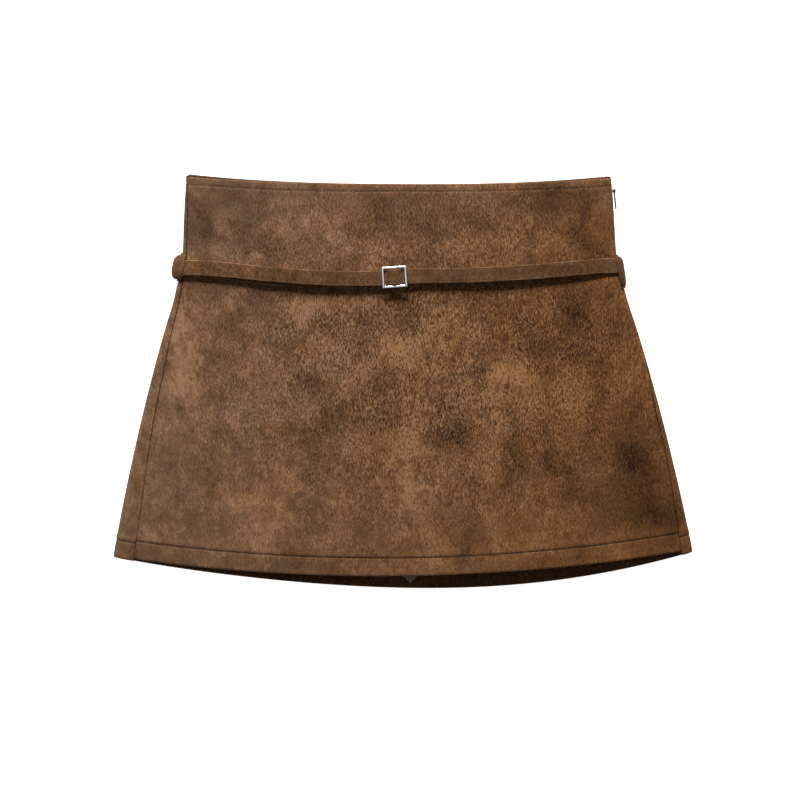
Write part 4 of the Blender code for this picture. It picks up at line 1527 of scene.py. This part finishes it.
# Inner shorts
@dataclass
class Shorts:
    """The inner shorts: four lining panels with twin-stitched leg hems."""

    crotch: float = 0.245
    leg_hem: float = 0.285
    parting: float = 0.200
    leg_spread: float = 0.0090
    side_press: float = 12.0
    leg_press: float = 4.0
    loft: float = 0.92
    columns: int = 44
    rows: int = 84

    SIDE = ((0.000, 0.1660), (0.060, 0.1690), (0.120, 0.1800), (0.180, 0.1900),
            (0.240, 0.1960), (0.285, 0.1990))
    STITCH = Stitch(pitch=0.0026, along=0.0020, across=0.00040, high=0.00030, seed=8)
    HEM_STITCHES = (0.0180, 0.0215)

    def side_half(self, down: Points) -> Points:
        """Half the width of the shorts."""
        return Smooth(*zip(*self.SIDE)).at(down)

    def inseam(self, down: Points) -> Points:
        """Half the gap between the legs, or half a seam's gap above the crotch."""
        share = np.clip((down - self.crotch) / (self.leg_hem - self.crotch), 0.0, 1.0)
        return SEAM_GAP / 2.0 + (self.leg_spread - SEAM_GAP / 2.0) * share**0.7

    def heights(self, x: Points, down: Points) -> tuple[Points, Points]:
        """Facing heights of the front and of the back layer.

        Args:
            x: places across, on one side of the middle line.
            down: depths below the waist level.

        Returns:
            The two heights at each place.
        """
        side, inner = self.side_half(down), self.inseam(down)
        whole = 1.0 - np.minimum(1.0, x / side) ** self.side_press
        across = np.abs(2.0 * (x - inner) / (side - inner) - 1.0)
        leg = 1.0 - np.minimum(1.0, across) ** self.leg_press
        parted = eased((down - self.parting) / (self.crotch - self.parting))
        opened = whole + (np.minimum(whole, leg) - whole) * parted
        fold, lift = FORM.fold(down), FORM.lift.at(down)
        layers = CLOTH + SEAM_GAP + LINING + SEAM_GAP / 2.0
        over = (fold - layers + FORM.lofted(x, down)) * opened * self.loft
        under = (fold - layers) * opened
        return lift + fold + SEAM_GAP / 2.0 + over, lift + fold - SEAM_GAP / 2.0 - under

    def panel(
        self, name: str, side: float, is_front: bool, lining: Material
    ) -> Object:
        """One quarter of the shorts as a closed shell.

        Args:
            name: the piece's name.
            side: -1 for the left half, 1 for the right half.
            is_front: whether it lies over the other layer.
            lining: its material.

        Returns:
            The panel's object.
        """
        share = (0.5 - 0.5 * np.cos(math.pi * np.arange(self.columns + 1) / self.columns))[None]
        out = side * share * self.side_half(0.0) / FORM.half_width.at(0.0)
        top = FRONT_CUT.waist_edge(out) + WAIST_TURNING + STITCH_SPREAD + SEAM_GAP
        down = top + (self.leg_hem - top) * (np.arange(self.rows + 1) / self.rows)[:, None]
        x = self.inseam(down) + (self.side_half(down) - self.inseam(down)) * share
        over, under = self.heights(x, down)
        facing = over if is_front else under
        away = facing + (LINING if is_front else -LINING)
        outer, inner = placed(side * x, down, away), placed(side * x, down, facing)
        rows, columns = outer.shape[:2]
        ring = [(0, c) for c in range(columns)]
        ring += [(r, columns - 1) for r in range(1, rows)]
        ring += [(rows - 1, c) for c in range(columns - 2, -1, -1)]
        ring += [(r, 0) for r in range(rows - 2, 0, -1)]
        number = np.arange(rows * columns).reshape(rows, columns)
        faces = []
        for grid in (number, number + rows * columns):
            faces += grid_faces(grid)
        rim = [int(number[place]) for place in ring]
        for k, after in zip(rim, rim[1:] + rim[:1]):
            faces.append((k, after, after + rows * columns, k + rows * columns))
        vertices = np.concatenate([outer.reshape(-1, 3), inner.reshape(-1, 3)])
        return make_piece(name, vertices, faces, (lining,))

    def hem_lines(self, is_front: bool) -> list[tuple[Points, Points]]:
        """The twin stitch lines round one layer's leg hems.

        Args:
            is_front: whether the layer is the front one.

        Returns:
            Points and up vectors of each line.
        """
        lines = []
        for side in (-1.0, 1.0):
            for rise in self.HEM_STITCHES:
                share = np.linspace(0.02, 0.98, 60)
                down = np.full_like(share, self.leg_hem - rise)
                x = self.inseam(down) + (self.side_half(down) - self.inseam(down)) * share
                over, under = self.heights(x, down)
                z = over + LINING if is_front else under - LINING
                up = np.array([0.0, 0.0, 1.0 if is_front else -1.0])
                lines.append((placed(side * x, down, z), up))
        return lines

    def build(self, finishes: Finishes) -> None:
        """Args:
            finishes: every finish of the skort.
        """
        lining = finishes.lining.make()
        thread = finishes.lining_thread.make()
        for is_front, word in ((True, "front"), (False, "back")):
            BEADS.lay(
                f"shorts_hem_{word}", self.hem_lines(is_front), self.STITCH, thread
            )
        for is_front, layer in ((True, "front"), (False, "back")):
            for side, word in ((-1.0, "left"), (1.0, "right")):
                name = f"shorts_{layer}_{word}"
                piece = self.panel("lined_" + name, side, is_front, lining)
                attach(piece, GARMENT)
                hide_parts(name)
        LOG.info("shorts: four lining panels with twin-stitched leg hems")


# Belt, loops and buckle
def strap_profile(
    half_wide: float, half_thick: float, stitch_at: float, groove: float
) -> list[tuple[float, float]]:
    """A strap's cross-section: rounded edges, a groove under each stitch row, a soft crown.

    Args:
        half_wide: half its width.
        half_thick: half its thickness.
        stitch_at: distance of each stitch row from the middle.
        groove: depth of the groove that the stitches pull.

    Returns:
        A closed outline of (across, out) offsets.
    """
    radius = half_thick * 0.72
    top = [(half_wide - radius + radius * math.cos(a), half_thick - radius + radius * math.sin(a))
           for a in np.linspace(0.0, math.pi / 2.0, 5)]
    top += [(stitch_at + 0.00035, half_thick - groove * 0.35), (stitch_at, half_thick - groove),
            (stitch_at - 0.0004, half_thick - groove * 0.3),
            (stitch_at * 0.72, half_thick + groove * 0.15), (stitch_at * 0.35, half_thick),
            (0.0, half_thick)]
    upper = top + [(-x, z) for x, z in top[-2::-1]]
    return upper + [(x, -z) for x, z in upper[::-1]]


@dataclass
class Buckle:
    """The square slide buckle with a low bar across its middle."""

    x: float = -0.0043
    down: float = 0.0826
    floor: float = 0.0156
    turn: float = math.radians(3.4)
    wide: float = 0.0210
    high: float = 0.0175
    side_rail: float = 0.0025
    rail: float = 0.0019
    deep: float = 0.0020
    centre_bar: float = 0.0012
    round_outside: float = 0.0009
    round_inside: float = 0.0003
    bevel: float = 0.00060
    corner_steps: int = 7
    bevel_steps: int = 4

    @property
    def rail_reach(self) -> float:
        """Distance from the buckle's middle to the inside of its side rails."""
        return self.wide / 2.0 - self.side_rail

    def laid(self, across: Points, up: Points, height: Points) -> Points:
        """Points of the buckle, from places about its middle before it is turned askew.

        Args:
            across: distances to the right of its middle.
            up: distances towards the waist.
            height: heights over the floor.

        Returns:
            Points in the part's frame.
        """
        x = across * math.cos(self.turn) - up * math.sin(self.turn)
        y = across * math.sin(self.turn) + up * math.cos(self.turn)
        return placed(self.x + x, self.down - y, height)

    def outline(self, inset: float) -> Points:
        """The frame's outline, moved in by an inset.

        Args:
            inset: how far inside the outer edge.

        Returns:
            Points as (across, up), anticlockwise.
        """
        share = inset / self.rail
        radius = self.round_outside + (self.round_inside - self.round_outside) * share
        half_wide = self.wide / 2.0 - self.side_rail * share
        half_high = self.high / 2.0 - inset
        points = []
        for quarter, (sx, sy) in enumerate(((1, 1), (-1, 1), (-1, -1), (1, -1))):
            for k in range(self.corner_steps + 1):
                turn = math.pi / 2.0 * (quarter + k / self.corner_steps)
                points.append((sx * (half_wide - radius) + radius * math.cos(turn),
                               sy * (half_high - radius) + radius * math.sin(turn)))
        return np.asarray(points)

    def rail_section(self) -> list[tuple[float, float]]:
        """The rail's cross-section as (inset, height): a square with rounded corners.

        Returns:
            The section, in order round the rail.
        """
        section = []
        corners = ((self.rail, self.deep), (0.0, self.deep), (0.0, 0.0), (self.rail, 0.0))
        for quarter, (inset, height) in enumerate(corners):
            centre = (inset + (self.bevel if inset == 0.0 else -self.bevel),
                      height + (self.bevel if height == 0.0 else -self.bevel))
            for k in range(self.bevel_steps + 1):
                turn = math.pi / 2.0 * (quarter + k / self.bevel_steps)
                section.append((centre[0] + self.bevel * math.cos(turn),
                                centre[1] + self.bevel * math.sin(turn)))
        return section

    def build(self, finishes: Finishes) -> Object:
        """Builds and dresses the buckle.

        Args:
            finishes: every finish of the skort.

        Returns:
            The buckle's object.
        """
        rings = []
        for inset, height in self.rail_section():
            outline = self.outline(inset)
            rings.append(self.laid(outline[:, 0], outline[:, 1], self.floor + height))
        faces = tube_faces(len(rings), len(rings[0]), closed=True)
        frame_points, bar = np.concatenate(rings), self.bar_rings()
        faces += [tuple(k + len(frame_points) for k in face)
                  for face in tube_faces(len(bar), bar.shape[1])]
        piece = make_piece("slide_buckle", np.concatenate([frame_points, bar.reshape(-1, 3)]),
                           faces, (finishes.chrome.make(),), sharp=70.0)
        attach(piece, GARMENT)
        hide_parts("buckle")
        LOG.info("buckle: square frame with a centre bar")
        return piece

    def bar_rings(self) -> Points:
        """Rings of the middle bar, which runs from the lower to the upper rail.

        Returns:
            An array of rings of points.
        """
        half, steps = self.centre_bar / 2.0, 12
        reach = self.high / 2.0 - self.rail * 0.5
        middle = self.floor + half + 0.00005
        rings = []
        for along in (-reach, 0.0, reach):
            turn = np.arange(steps) * 2.0 * math.pi / steps
            square = np.maximum(np.abs(np.cos(turn)), np.abs(np.sin(turn)))
            radius = (half - 0.00005) / square**0.6
            rings.append(self.laid(radius * np.cos(turn), along + 0.0 * turn,
                                   middle + np.minimum(radius, half) * np.sin(turn)))
        return np.stack(rings)


@dataclass
class Belt:
    """The strap: one edge-stitched strip, once and a half round the skirt."""

    buckle: Buckle
    wide: float = 0.0122
    thick: float = 0.0018
    drop: float = 0.0827
    flare: float = 0.19
    turns_at: float = 0.1700
    pitch: float = 0.0018
    stitch_at: float = 0.0050
    groove: float = 0.00016
    # the painted highlight along both edges of the strap: its strength, where it starts and how
    # wide it grows
    edge_highlight: float = 0.9
    highlight_from: float = 0.0008
    highlight_over: float = 0.0005
    clear_of_rail: float = 0.0050
    inside_rail: float = 0.0010
    over_bar: float = 0.0012

    STITCH = Stitch(pitch=0.0026, along=0.0021, across=0.00048, high=0.00040, seed=5)

    def at_buckle(self, x: float) -> float:
        """Depth of the strap's middle near the buckle, which leans the same way."""
        return self.drop - math.tan(self.buckle.turn) * (x - self.buckle.x)

    def stops(self) -> list[tuple[float, float, float]]:
        """Places on the strap's centre line: across, down and up.

        Returns:
            The places in order, from the end on top to the end underneath.
        """
        bar = self.buckle.rail_reach
        left_out = self.buckle.x - bar - self.clear_of_rail
        left_in = self.buckle.x - bar + self.inside_rail
        right_in = self.buckle.x + bar - self.inside_rail
        right_out = self.buckle.x + bar + self.clear_of_rail
        under = self.buckle.floor - SEAM_GAP - self.thick / 2.0
        over = self.buckle.floor + self.buckle.centre_bar + SEAM_GAP + self.thick / 2.0
        layer, floor = self.thick + SEAM_GAP, self.thick / 2.0
        upper_left = [
            (-0.1800, 0.0727, 0.0114), (-0.1740, 0.0728, 0.0125), (-0.1660, 0.0730, 0.0132),
            (-0.1500, 0.0742, 0.0141), (-0.1000, 0.0796, 0.0150), (-0.0500, 0.0831, 0.0146),
        ]
        bar_left, bar_right = self.buckle.x - self.over_bar, self.buckle.x + self.over_bar
        through = [
            (left_out, self.at_buckle(left_out), under), (left_in, self.at_buckle(left_in), under),
            (bar_left, self.at_buckle(bar_left), over),
            (bar_right, self.at_buckle(bar_right), over),
            (right_in, self.at_buckle(right_in), under),
            (right_out, self.at_buckle(right_out), under),
        ]
        round_right = [
            (0.0500, 0.0818, 0.0142), (0.1000, 0.0801, 0.0144), (0.1500, 0.0766, 0.0129),
            (0.1680, 0.0752, 0.0112), (0.1768, 0.0752, 0.0103), (0.1798, 0.0759, 0.0088),
            (0.1814, 0.0766, 0.0054), (0.1802, 0.0770, 0.0021), (0.1768, 0.0772, floor),
            (0.1680, 0.0771, floor),
        ]
        along_floor = [(0.1500, 0.0770, floor), (-0.1500, 0.0745, floor), (-0.1680, 0.0742, floor)]
        lower_left = [
            (-0.1764, 0.0738, floor), (-0.1796, 0.0734, 0.0015), (-0.1819, 0.0731, 0.0032),
            (-0.1828, 0.0730, 0.0054), (-0.1814, 0.0730, 0.0081), (-0.1765, 0.0733, 0.0099),
            (-0.1680, 0.0738, 0.0105), (-0.1500, 0.0757, 0.0116), (-0.1000, 0.0825, 0.0127),
            (-0.0500, 0.0843, 0.0124), (left_out, self.at_buckle(left_out), under - layer),
            (left_in, self.at_buckle(left_in), under - layer),
            (self.buckle.x, self.drop, under - SEAM_GAP),
        ]
        return upper_left + through + round_right + along_floor + lower_left

    def path(self) -> tuple[Points, Points, Points]:
        """The strap's centre line.

        Returns:
            Points, unit normals out of its face and unit vectors across it.
        """
        stops = np.asarray(self.stops())
        runs = run_lengths(stops)
        places = []
        for start, end in zip(runs, runs[1:]):
            count = max(3, int(math.ceil((end - start) / self.pitch)))
            places += np.linspace(start, end, count, endpoint=False).tolist()
        places.append(runs[-1])
        x, down, z = (Smooth(runs, stops[:, axis]).at(places) for axis in range(3))
        path = placed(x, down, z)
        flat = np.stack([path[:, 0], np.zeros(len(path)), path[:, 2]], axis=1)
        normals = path_normals(flat, np.array([0.0, 1.0, 0.0]))
        lean = -np.copysign(self.flare * np.abs(normals[:, 0]), path[:, 0])
        lean = np.where(np.abs(path[:, 0]) < self.turns_at, 0.0, lean)
        widths = unit(np.stack([lean, np.ones(len(path)), np.zeros(len(path))], axis=1))
        normals -= widths * np.sum(normals * widths, axis=1, keepdims=True)
        return path, unit(normals), widths

    def build(self, finishes: Finishes) -> Object:
        """Args:
            finishes: every finish of the skort.

        Returns:
            The strap's object.
        """
        path, normals, widths = self.path()
        profile = strap_profile(self.wide / 2.0, self.thick / 2.0, self.stitch_at, self.groove)
        rings = ribbon_points(path, normals, widths, profile)
        piece = make_piece("belt_strip", rings, tube_faces(len(rings), len(profile)),
                           (finishes.belt.make(),), sharp=60.0)
        # painted highlight: the strap is lightened along both edges
        offset = np.abs([across for across, _ in profile])
        wear_and_highlight = ramped(offset, self.wide / 2.0 - self.highlight_from, self.highlight_over)
        set_values(piece, "shade", np.tile(self.edge_highlight * wear_and_highlight, len(rings)))
        out = self.thick / 2.0 - self.groove * 0.4
        lines = [
            (path + side * self.stitch_at * widths + out * normals, normals) for side in (-1, 1)
        ]
        stitches = BEADS.lay("belt_stitches", lines, self.STITCH, finishes.belt_thread.make())
        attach(piece, GARMENT)
        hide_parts("belt_strap")
        return piece


@dataclass
class BeltLoop:
    """A side loop that carries the belt, sewn down above and below it."""

    name: str
    node: str
    side: float
    down: float
    half_length: float
    reach: float
    rise: float
    high_turn: float
    roundness: float
    lean: float
    low_turn: float = -0.70
    thick: float = 0.0011
    tail: float = 0.0018
    steps: int = 48
    across: int = 15

    TACK = Stitch(pitch=0.00055, along=0.0005, across=0.0016, high=0.00045, jitter=0.1, seed=11)

    def path(self) -> tuple[Points, Points]:
        """The loop's run: how far along the side, and how far it stands out.

        Returns:
            The distances along the side and outwards, at an even pitch.
        """
        turn = np.linspace(0.0, math.pi, self.steps + 1)
        along = -np.sign(np.cos(turn)) * np.abs(np.cos(turn)) ** self.roundness * self.half_length
        out = np.abs(np.sin(turn)) ** self.roundness * (self.reach - self.lean * along)
        tails = np.linspace(0.0, self.tail, 5)
        along = np.concatenate([-self.half_length - tails[:0:-1], along,
                                self.half_length + tails[1:]])
        out = np.concatenate([np.zeros(4), out, np.zeros(4)])
        flat = np.stack([out, along, np.zeros_like(out)], axis=1)
        even = resampled(flat, 0.0005)
        return even[:, 0], even[:, 1]

    def build(self, suede: Material, thread: Material) -> Object:
        """Builds and dresses the loop and the bar tacks at its ends.

        Args:
            suede: the loop's material.
            thread: the tacks' material.

        Returns:
            The loop's object.
        """
        out, along = self.path()
        down = self.down + along
        run = np.stack([out, -along], axis=1)
        way = unit(tangents(run))
        outward = np.stack([-way[:, 1], way[:, 0]], axis=1)
        fold = FORM.fold(down)
        base = fold + SEAM_GAP + self.thick / 2.0
        share = out / self.reach
        wide = base + out
        high = base + self.rise * share
        turns = np.linspace(self.low_turn, self.high_turn, self.across)
        rings = []
        for sign, order in ((1.0, turns), (-1.0, turns[::-1])):
            for k, turn in enumerate(order):
                rounded = 0.45 if k in (0, len(order) - 1) else 1.0
                half = sign * rounded * self.thick / 2.0
                cosine, sine = np.cos(turn), np.sin(turn)
                x = FORM.half_width.at(down) - fold + wide * cosine + half * outward[:, 0] * cosine
                z = FORM.lift.at(down) + fold + high * sine + half * outward[:, 0] * sine
                y_shift = half * outward[:, 1]
                rings.append(placed(self.side * x, down - y_shift, z))
        rings = np.stack(rings, axis=1)
        piece = make_piece(self.name, rings, tube_faces(len(rings), rings.shape[1]), (suede,),
                           sharp=60.0)
        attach(piece, GARMENT)
        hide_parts(self.node)
        lines = []
        for ring in (3, len(rings) - 4):
            line = rings[ring, 1:self.across - 1]
            middle = rings[ring, self.across + 1:2 * self.across - 1][::-1]
            lines.append((line, unit(line - middle)))
        BEADS.lay(self.name + "_tacks", lines, self.TACK, thread)
        LOG.info("%s: loop with two bar tacks", self.name)
        return piece


# Side zip
@dataclass
class SideZip:
    """The concealed zip in the right-hand seam: coil, slider and pull."""

    top: float = 0.0115
    end: float = 0.1750
    chain_thick: float = 0.0008
    pull_down: float = 0.0136
    pull_length: float = 0.0150
    pull_thick: float = 0.0010
    pull_half: float = 0.0020
    neck_half: float = 0.0011
    neck_length: float = 0.0045
    neck_flare: float = 0.0015
    lean: float = math.radians(5.0)
    plate: float = 0.0006
    slider_half: float = 0.0013
    lug_thick: float = 0.0008
    lug_reach: float = 0.0020
    pin_radius: float = 0.00035
    slider_round: float = 0.00018
    bevel_from: float = 0.72
    bevel_in: float = 0.14
    grip_rim: float = 0.00045
    grip_sink: float = 0.00016

    COIL = Stitch(pitch=0.0011, along=0.00052, across=0.00150, high=0.0007, jitter=0.0)

    def axis_point(self) -> Vector:
        """A point on the pull's hinge axis, which runs along +Z.

        Returns:
            A point in the part's frame.
        """
        down = self.pull_down
        out = SEAM_GAP + self.plate + SEAM_GAP + self.pull_thick / 2.0
        x = float(FORM.half_width.at(down)) + out
        z = float(FORM.lift.at(down) + FORM.fold(down))
        return Vector((x, MIDDLE - down, z))

    def coil(self, metal: Material) -> Object:
        """The closed coil inside the side fold.

        Args:
            metal: what the zip is made of.

        Returns:
            The dressed piece.
        """
        down = np.linspace(self.top, self.end, 90)
        x = FORM.half_width.at(down) - CLOTH - 2.0 * SEAM_GAP - self.chain_thick / 2.0
        line = placed(x, down, FORM.lift.at(down) + FORM.fold(down))
        outward = np.array([1.0, 0.0, 0.0])
        piece = BEADS.lay("zip_coil", [(line, outward)], self.COIL, metal)
        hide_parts("zip_chain")
        return piece

    def slider(self, metal: Material) -> Object:
        """The slider's channel with its two lugs and the pin between them.

        Args:
            metal: what the zip is made of.

        Returns:
            The dressed piece.
        """
        axis = self.axis_point()
        back = -(self.pull_thick / 2.0 + SEAM_GAP + self.plate)
        face = back + self.plate
        inside = self.neck_half + SEAM_GAP
        outside = inside + self.lug_thick
        tip = face + self.lug_reach
        profile = ((back, -outside), (tip, -outside), (tip, -inside), (face, -inside),
                   (face, inside), (tip, inside), (tip, outside), (back, outside))
        bm = bmesh.new()
        ends = []
        for along in (-self.slider_half, self.slider_half):
            ends.append([bm.verts.new(axis + Vector((x, along, z))) for x, z in profile])
        bm.faces.new(ends[0])
        bm.faces.new(ends[1])
        for k in range(len(profile)):
            after = (k + 1) % len(profile)
            bm.faces.new((ends[0][k], ends[0][after], ends[1][after], ends[1][k]))
        bmesh.ops.recalc_face_normals(bm, faces=bm.faces)
        bmesh.ops.bevel(bm, geom=list(bm.edges), offset=self.slider_round, segments=3,
                        affect="EDGES", profile=0.5, clamp_overlap=True)
        pin = bmesh.ops.create_cone(
            bm, cap_ends=True, segments=20, radius1=self.pin_radius, radius2=self.pin_radius,
            depth=2.0 * outside + 0.0002,
        )
        bmesh.ops.translate(bm, verts=pin["verts"], vec=axis)
        mesh = bpy.data.meshes.new("zip_runner")
        bm.to_mesh(mesh)
        bm.free()
        mesh.materials.append(metal)
        piece = shown(mesh, 38.0)
        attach(piece, GARMENT)
        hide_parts("zip_slider")
        return piece

    def pull_outline(self) -> list[tuple[float, float]]:
        """The tab's outline as (along, across), anticlockwise from its neck.

        Returns:
            Points in order.
        """
        half = [(-self.pull_thick / 2.0 + 0.0001, 0.0)]
        for turn in np.linspace(math.pi, math.pi / 2.0, 7)[1:]:
            half.append((self.pull_thick / 2.0 * (1.0 + math.cos(turn)) - self.pull_thick / 2.0,
                         self.neck_half * math.sin(turn)))
        half.append((self.neck_length, self.neck_half * 0.92))
        half.append((self.neck_length + self.neck_flare * 0.5,
                     (self.neck_half + self.pull_half) / 2.0))
        half.append((self.neck_length + self.neck_flare, self.pull_half * 0.97))
        for turn in np.linspace(0.0, math.pi / 2.0, 9):
            half.append((self.pull_length - self.pull_half + self.pull_half * math.sin(turn),
                         self.pull_half * math.cos(turn)))
        mirrored = [(along, -across) for along, across in half[-2:0:-1]]
        return half + mirrored

    def pull(self, metal: Material) -> Object:
        """The pull tab: a solid neck round the pin and a sunk field on each side of its grip.

        Args:
            metal: what the zip is made of.

        Returns:
            The dressed piece.
        """
        outline = self.pull_outline()
        thick = self.pull_thick / 2.0
        straight = thick * self.bevel_from
        levels = ((-thick, self.bevel_in), (-straight, 0.0),
                  (straight, 0.0), (thick, self.bevel_in))
        middle = self.pull_length * 0.55
        points = []
        for out, inset in levels:
            shorter, narrower = 1.0 - inset * 0.12, 1.0 - inset * 0.9
            points += [(out, -(middle + (along - middle) * shorter), across * narrower)
                       for along, across in outline]
        bm = bmesh.new()
        verts = [bm.verts.new(point) for point in points]
        caps = []
        for face in tube_faces(len(levels), len(outline)):
            made = bm.faces.new([verts[k] for k in face])
            if len(face) > 4:
                caps.append(made)
        for cap in caps:
            bmesh.ops.inset_region(bm, faces=[cap], thickness=self.grip_rim, depth=0.0)
        bmesh.ops.recalc_face_normals(bm, faces=bm.faces)
        for cap in caps:
            sunk = cap.normal * -self.grip_sink
            for vert in cap.verts:
                if -vert.co.y > self.neck_length:
                    vert.co += sunk
        turn = Matrix.Translation(self.axis_point()) @ Matrix.Rotation(self.lean, 4, "Z")
        bmesh.ops.transform(bm, matrix=turn, verts=bm.verts)
        bmesh.ops.triangulate(bm, faces=caps)
        mesh = bpy.data.meshes.new("zip_tab_pull")
        bm.to_mesh(mesh)
        bm.free()
        mesh.materials.append(metal)
        piece = shown(mesh, 35.0)
        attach(piece, ZIP_TAB)
        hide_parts("zip_pull")
        return piece

    def build(self, finishes: Finishes) -> None:
        """Builds and dresses the zip.

        Args:
            finishes: every finish of the skort.
        """
        metal = finishes.dark_metal.make()
        self.coil(metal)
        self.slider(metal)
        self.pull(metal)
        LOG.info("zip: coil, slider and pull")


@dataclass
class CareLabel:
    """A blank folded label that lies askew on the back panel."""

    tip_x: float = 0.0058
    tip_down: float = 0.3330
    wide: float = 0.0220
    long: float = 0.0450
    deep: float = 0.0010
    tape: float = 0.00032
    turn: float = math.radians(45.0)
    ripple: float = 0.00008
    ripple_turns: float = 9.0
    edge: float = 0.0001
    steps: int = 30

    def build(self, finishes: Finishes) -> Object:
        """Args:
            finishes: every finish of the skort.

        Returns:
            The label's object.
        """
        thick = self.tape / 2.0
        low = TURNED + SEAM_GAP + thick
        high = TURNED + SEAM_GAP + self.deep - thick
        radius = (high - low) / 2.0
        out = np.linspace(self.long, radius + thick, self.steps)
        bend = np.linspace(-math.pi / 2.0, math.pi / 2.0, 11)[1:-1]
        along = np.concatenate([out, radius + thick - radius * np.cos(bend), out[::-1]])
        middle = (low + high) / 2.0
        height = np.concatenate([np.full(self.steps, low), middle + radius * np.sin(bend),
                                 np.full(self.steps, high)])
        ripple = self.ripple * np.sin(along / self.long * self.ripple_turns)
        height = height + np.where(height > middle, ripple - self.ripple, 0.0)
        short = np.array([math.cos(self.turn), math.sin(self.turn), 0.0])
        length = np.array([-math.sin(self.turn), math.cos(self.turn), 0.0])
        tip = placed(self.tip_x, self.tip_down, 0.0)
        path = tip + short * self.wide / 2.0 + along[:, None] * length
        path[:, 2] = height
        normals = path_normals(path, short)
        widths = np.broadcast_to(short, path.shape)
        half = self.wide / 2.0
        flat = half - self.edge
        profile = [(half, 0.0), (flat, thick), (0.0, thick), (-flat, thick), (-half, 0.0),
                   (-flat, -thick), (0.0, -thick), (flat, -thick)]
        rings = ribbon_points(path, normals, widths, profile)
        piece = make_piece("blank_label", rings, tube_faces(len(rings), len(profile)),
                           (finishes.label.make(),))
        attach(piece, GARMENT)
        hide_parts("care_label")
        LOG.info("label: blank folded tape")
        return piece


# Studio
@dataclass
class Studio:
    """A pale floor, soft lights and the camera straight above."""

    distance: float = 2.41
    lens: float = 132.23
    aim_x: float = -0.0008
    aim_y: float = -0.01645
    turn: float = math.radians(-0.68)
    key_place: Place = (-0.25, 2.40, 1.70)
    key_size: float = 0.70
    key_power: float = 128.0
    top_place: Place = (0.2, -0.1, 1.9)
    top_size: float = 1.2
    top_power: float = 2.5
    world: float = 0.07
    low_sky: Colour = (0.30, 0.30, 0.30)
    high_sky: Colour = (1.25, 1.25, 1.25)
    floor_half: float = 3.0
    floor_drop: float = 0.0003

    def light(self, name: str, place: Place, size: float, power: float) -> None:
        """A square area light that looks at the middle of the skort.

        Args:
            name: the light's name.
            place: where it stands.
            size: the length of its side.
            power: its power in watts.
        """
        data = bpy.data.lights.new(name, "AREA")
        data.size = size
        data.energy = power
        lamp = bpy.data.objects.new(name, data)
        lamp.location = place
        lamp.rotation_euler = (-Vector(place)).to_track_quat("-Z", "Y").to_euler()
        bpy.context.scene.collection.objects.link(lamp)

    def build(self) -> None:
        """Sets up the camera, the lights, the world and the floor."""
        scene = bpy.context.scene
        data = bpy.data.cameras.new("camera")
        data.lens = self.lens
        data.sensor_width = 36.0
        data.clip_end = 20.0
        camera = bpy.data.objects.new("camera", data)
        camera.location = (self.aim_x, self.aim_y, self.distance)
        camera.rotation_euler = (0.0, 0.0, self.turn)
        scene.collection.objects.link(camera)
        scene.camera = camera

        scene.view_settings.view_transform = "Standard"
        world = bpy.data.worlds.new("studio")
        world.use_nodes = True
        background = world.node_tree.nodes["Background"]
        desk = NodeDesk(world.node_tree)
        way = desk.add("ShaderNodeTexCoord").outputs["Generated"]
        split = desk.add("ShaderNodeSeparateXYZ", {0: way})
        rise = desk.between(split.outputs[2], 0.0, 0.8)
        sky = desk.ramp(rise, ((0.0, self.low_sky), (1.0, self.high_sky)))
        desk.feed(background.inputs["Color"], sky)
        background.inputs["Strength"].default_value = self.world
        scene.world = world
        self.light("key_light", self.key_place, self.key_size, self.key_power)
        self.light("top_light", self.top_place, self.top_size, self.top_power)

        half = self.floor_half
        corners = [(x, y, -self.floor_drop) for x, y in
                   ((-half, -half), (half, -half), (half, half), (-half, half))]
        floor = make_piece("studio_floor", np.array(corners), [(0, 1, 2, 3)],
                           (FloorFinish().make(),), sharp=None)
        LOG.info("studio: camera, lights and floor")


def main() -> None:
    """Builds every piece in order."""
    logging.basicConfig(level=logging.INFO, format="%(name)s: %(message)s")
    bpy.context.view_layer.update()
    finishes = Finishes()
    Studio().build()
    Skirt().build(finishes)
    Shorts().build(finishes)
    buckle = Buckle()
    buckle.build(finishes)
    Belt(buckle).build(finishes)
    loop_suede, thread = finishes.loop.make(), finishes.thread.make()
    left = BeltLoop(
        "loop_left", "belt_loop_left", side=-1.0, down=0.0718, half_length=0.0096,
        reach=0.0062, rise=0.0042, high_turn=1.56, roundness=0.8, lean=0.0,
    )
    right = BeltLoop(
        "loop_right", "belt_loop_right", side=1.0, down=0.0797, half_length=0.0118,
        reach=0.0029, rise=0.0030, high_turn=1.35, roundness=0.7, lean=0.12,
    )
    for loop in (left, right):
        loop.build(loop_suede, thread)
    SideZip().build(finishes)
    CareLabel().build(finishes)


if __name__ == "__main__":
    main()
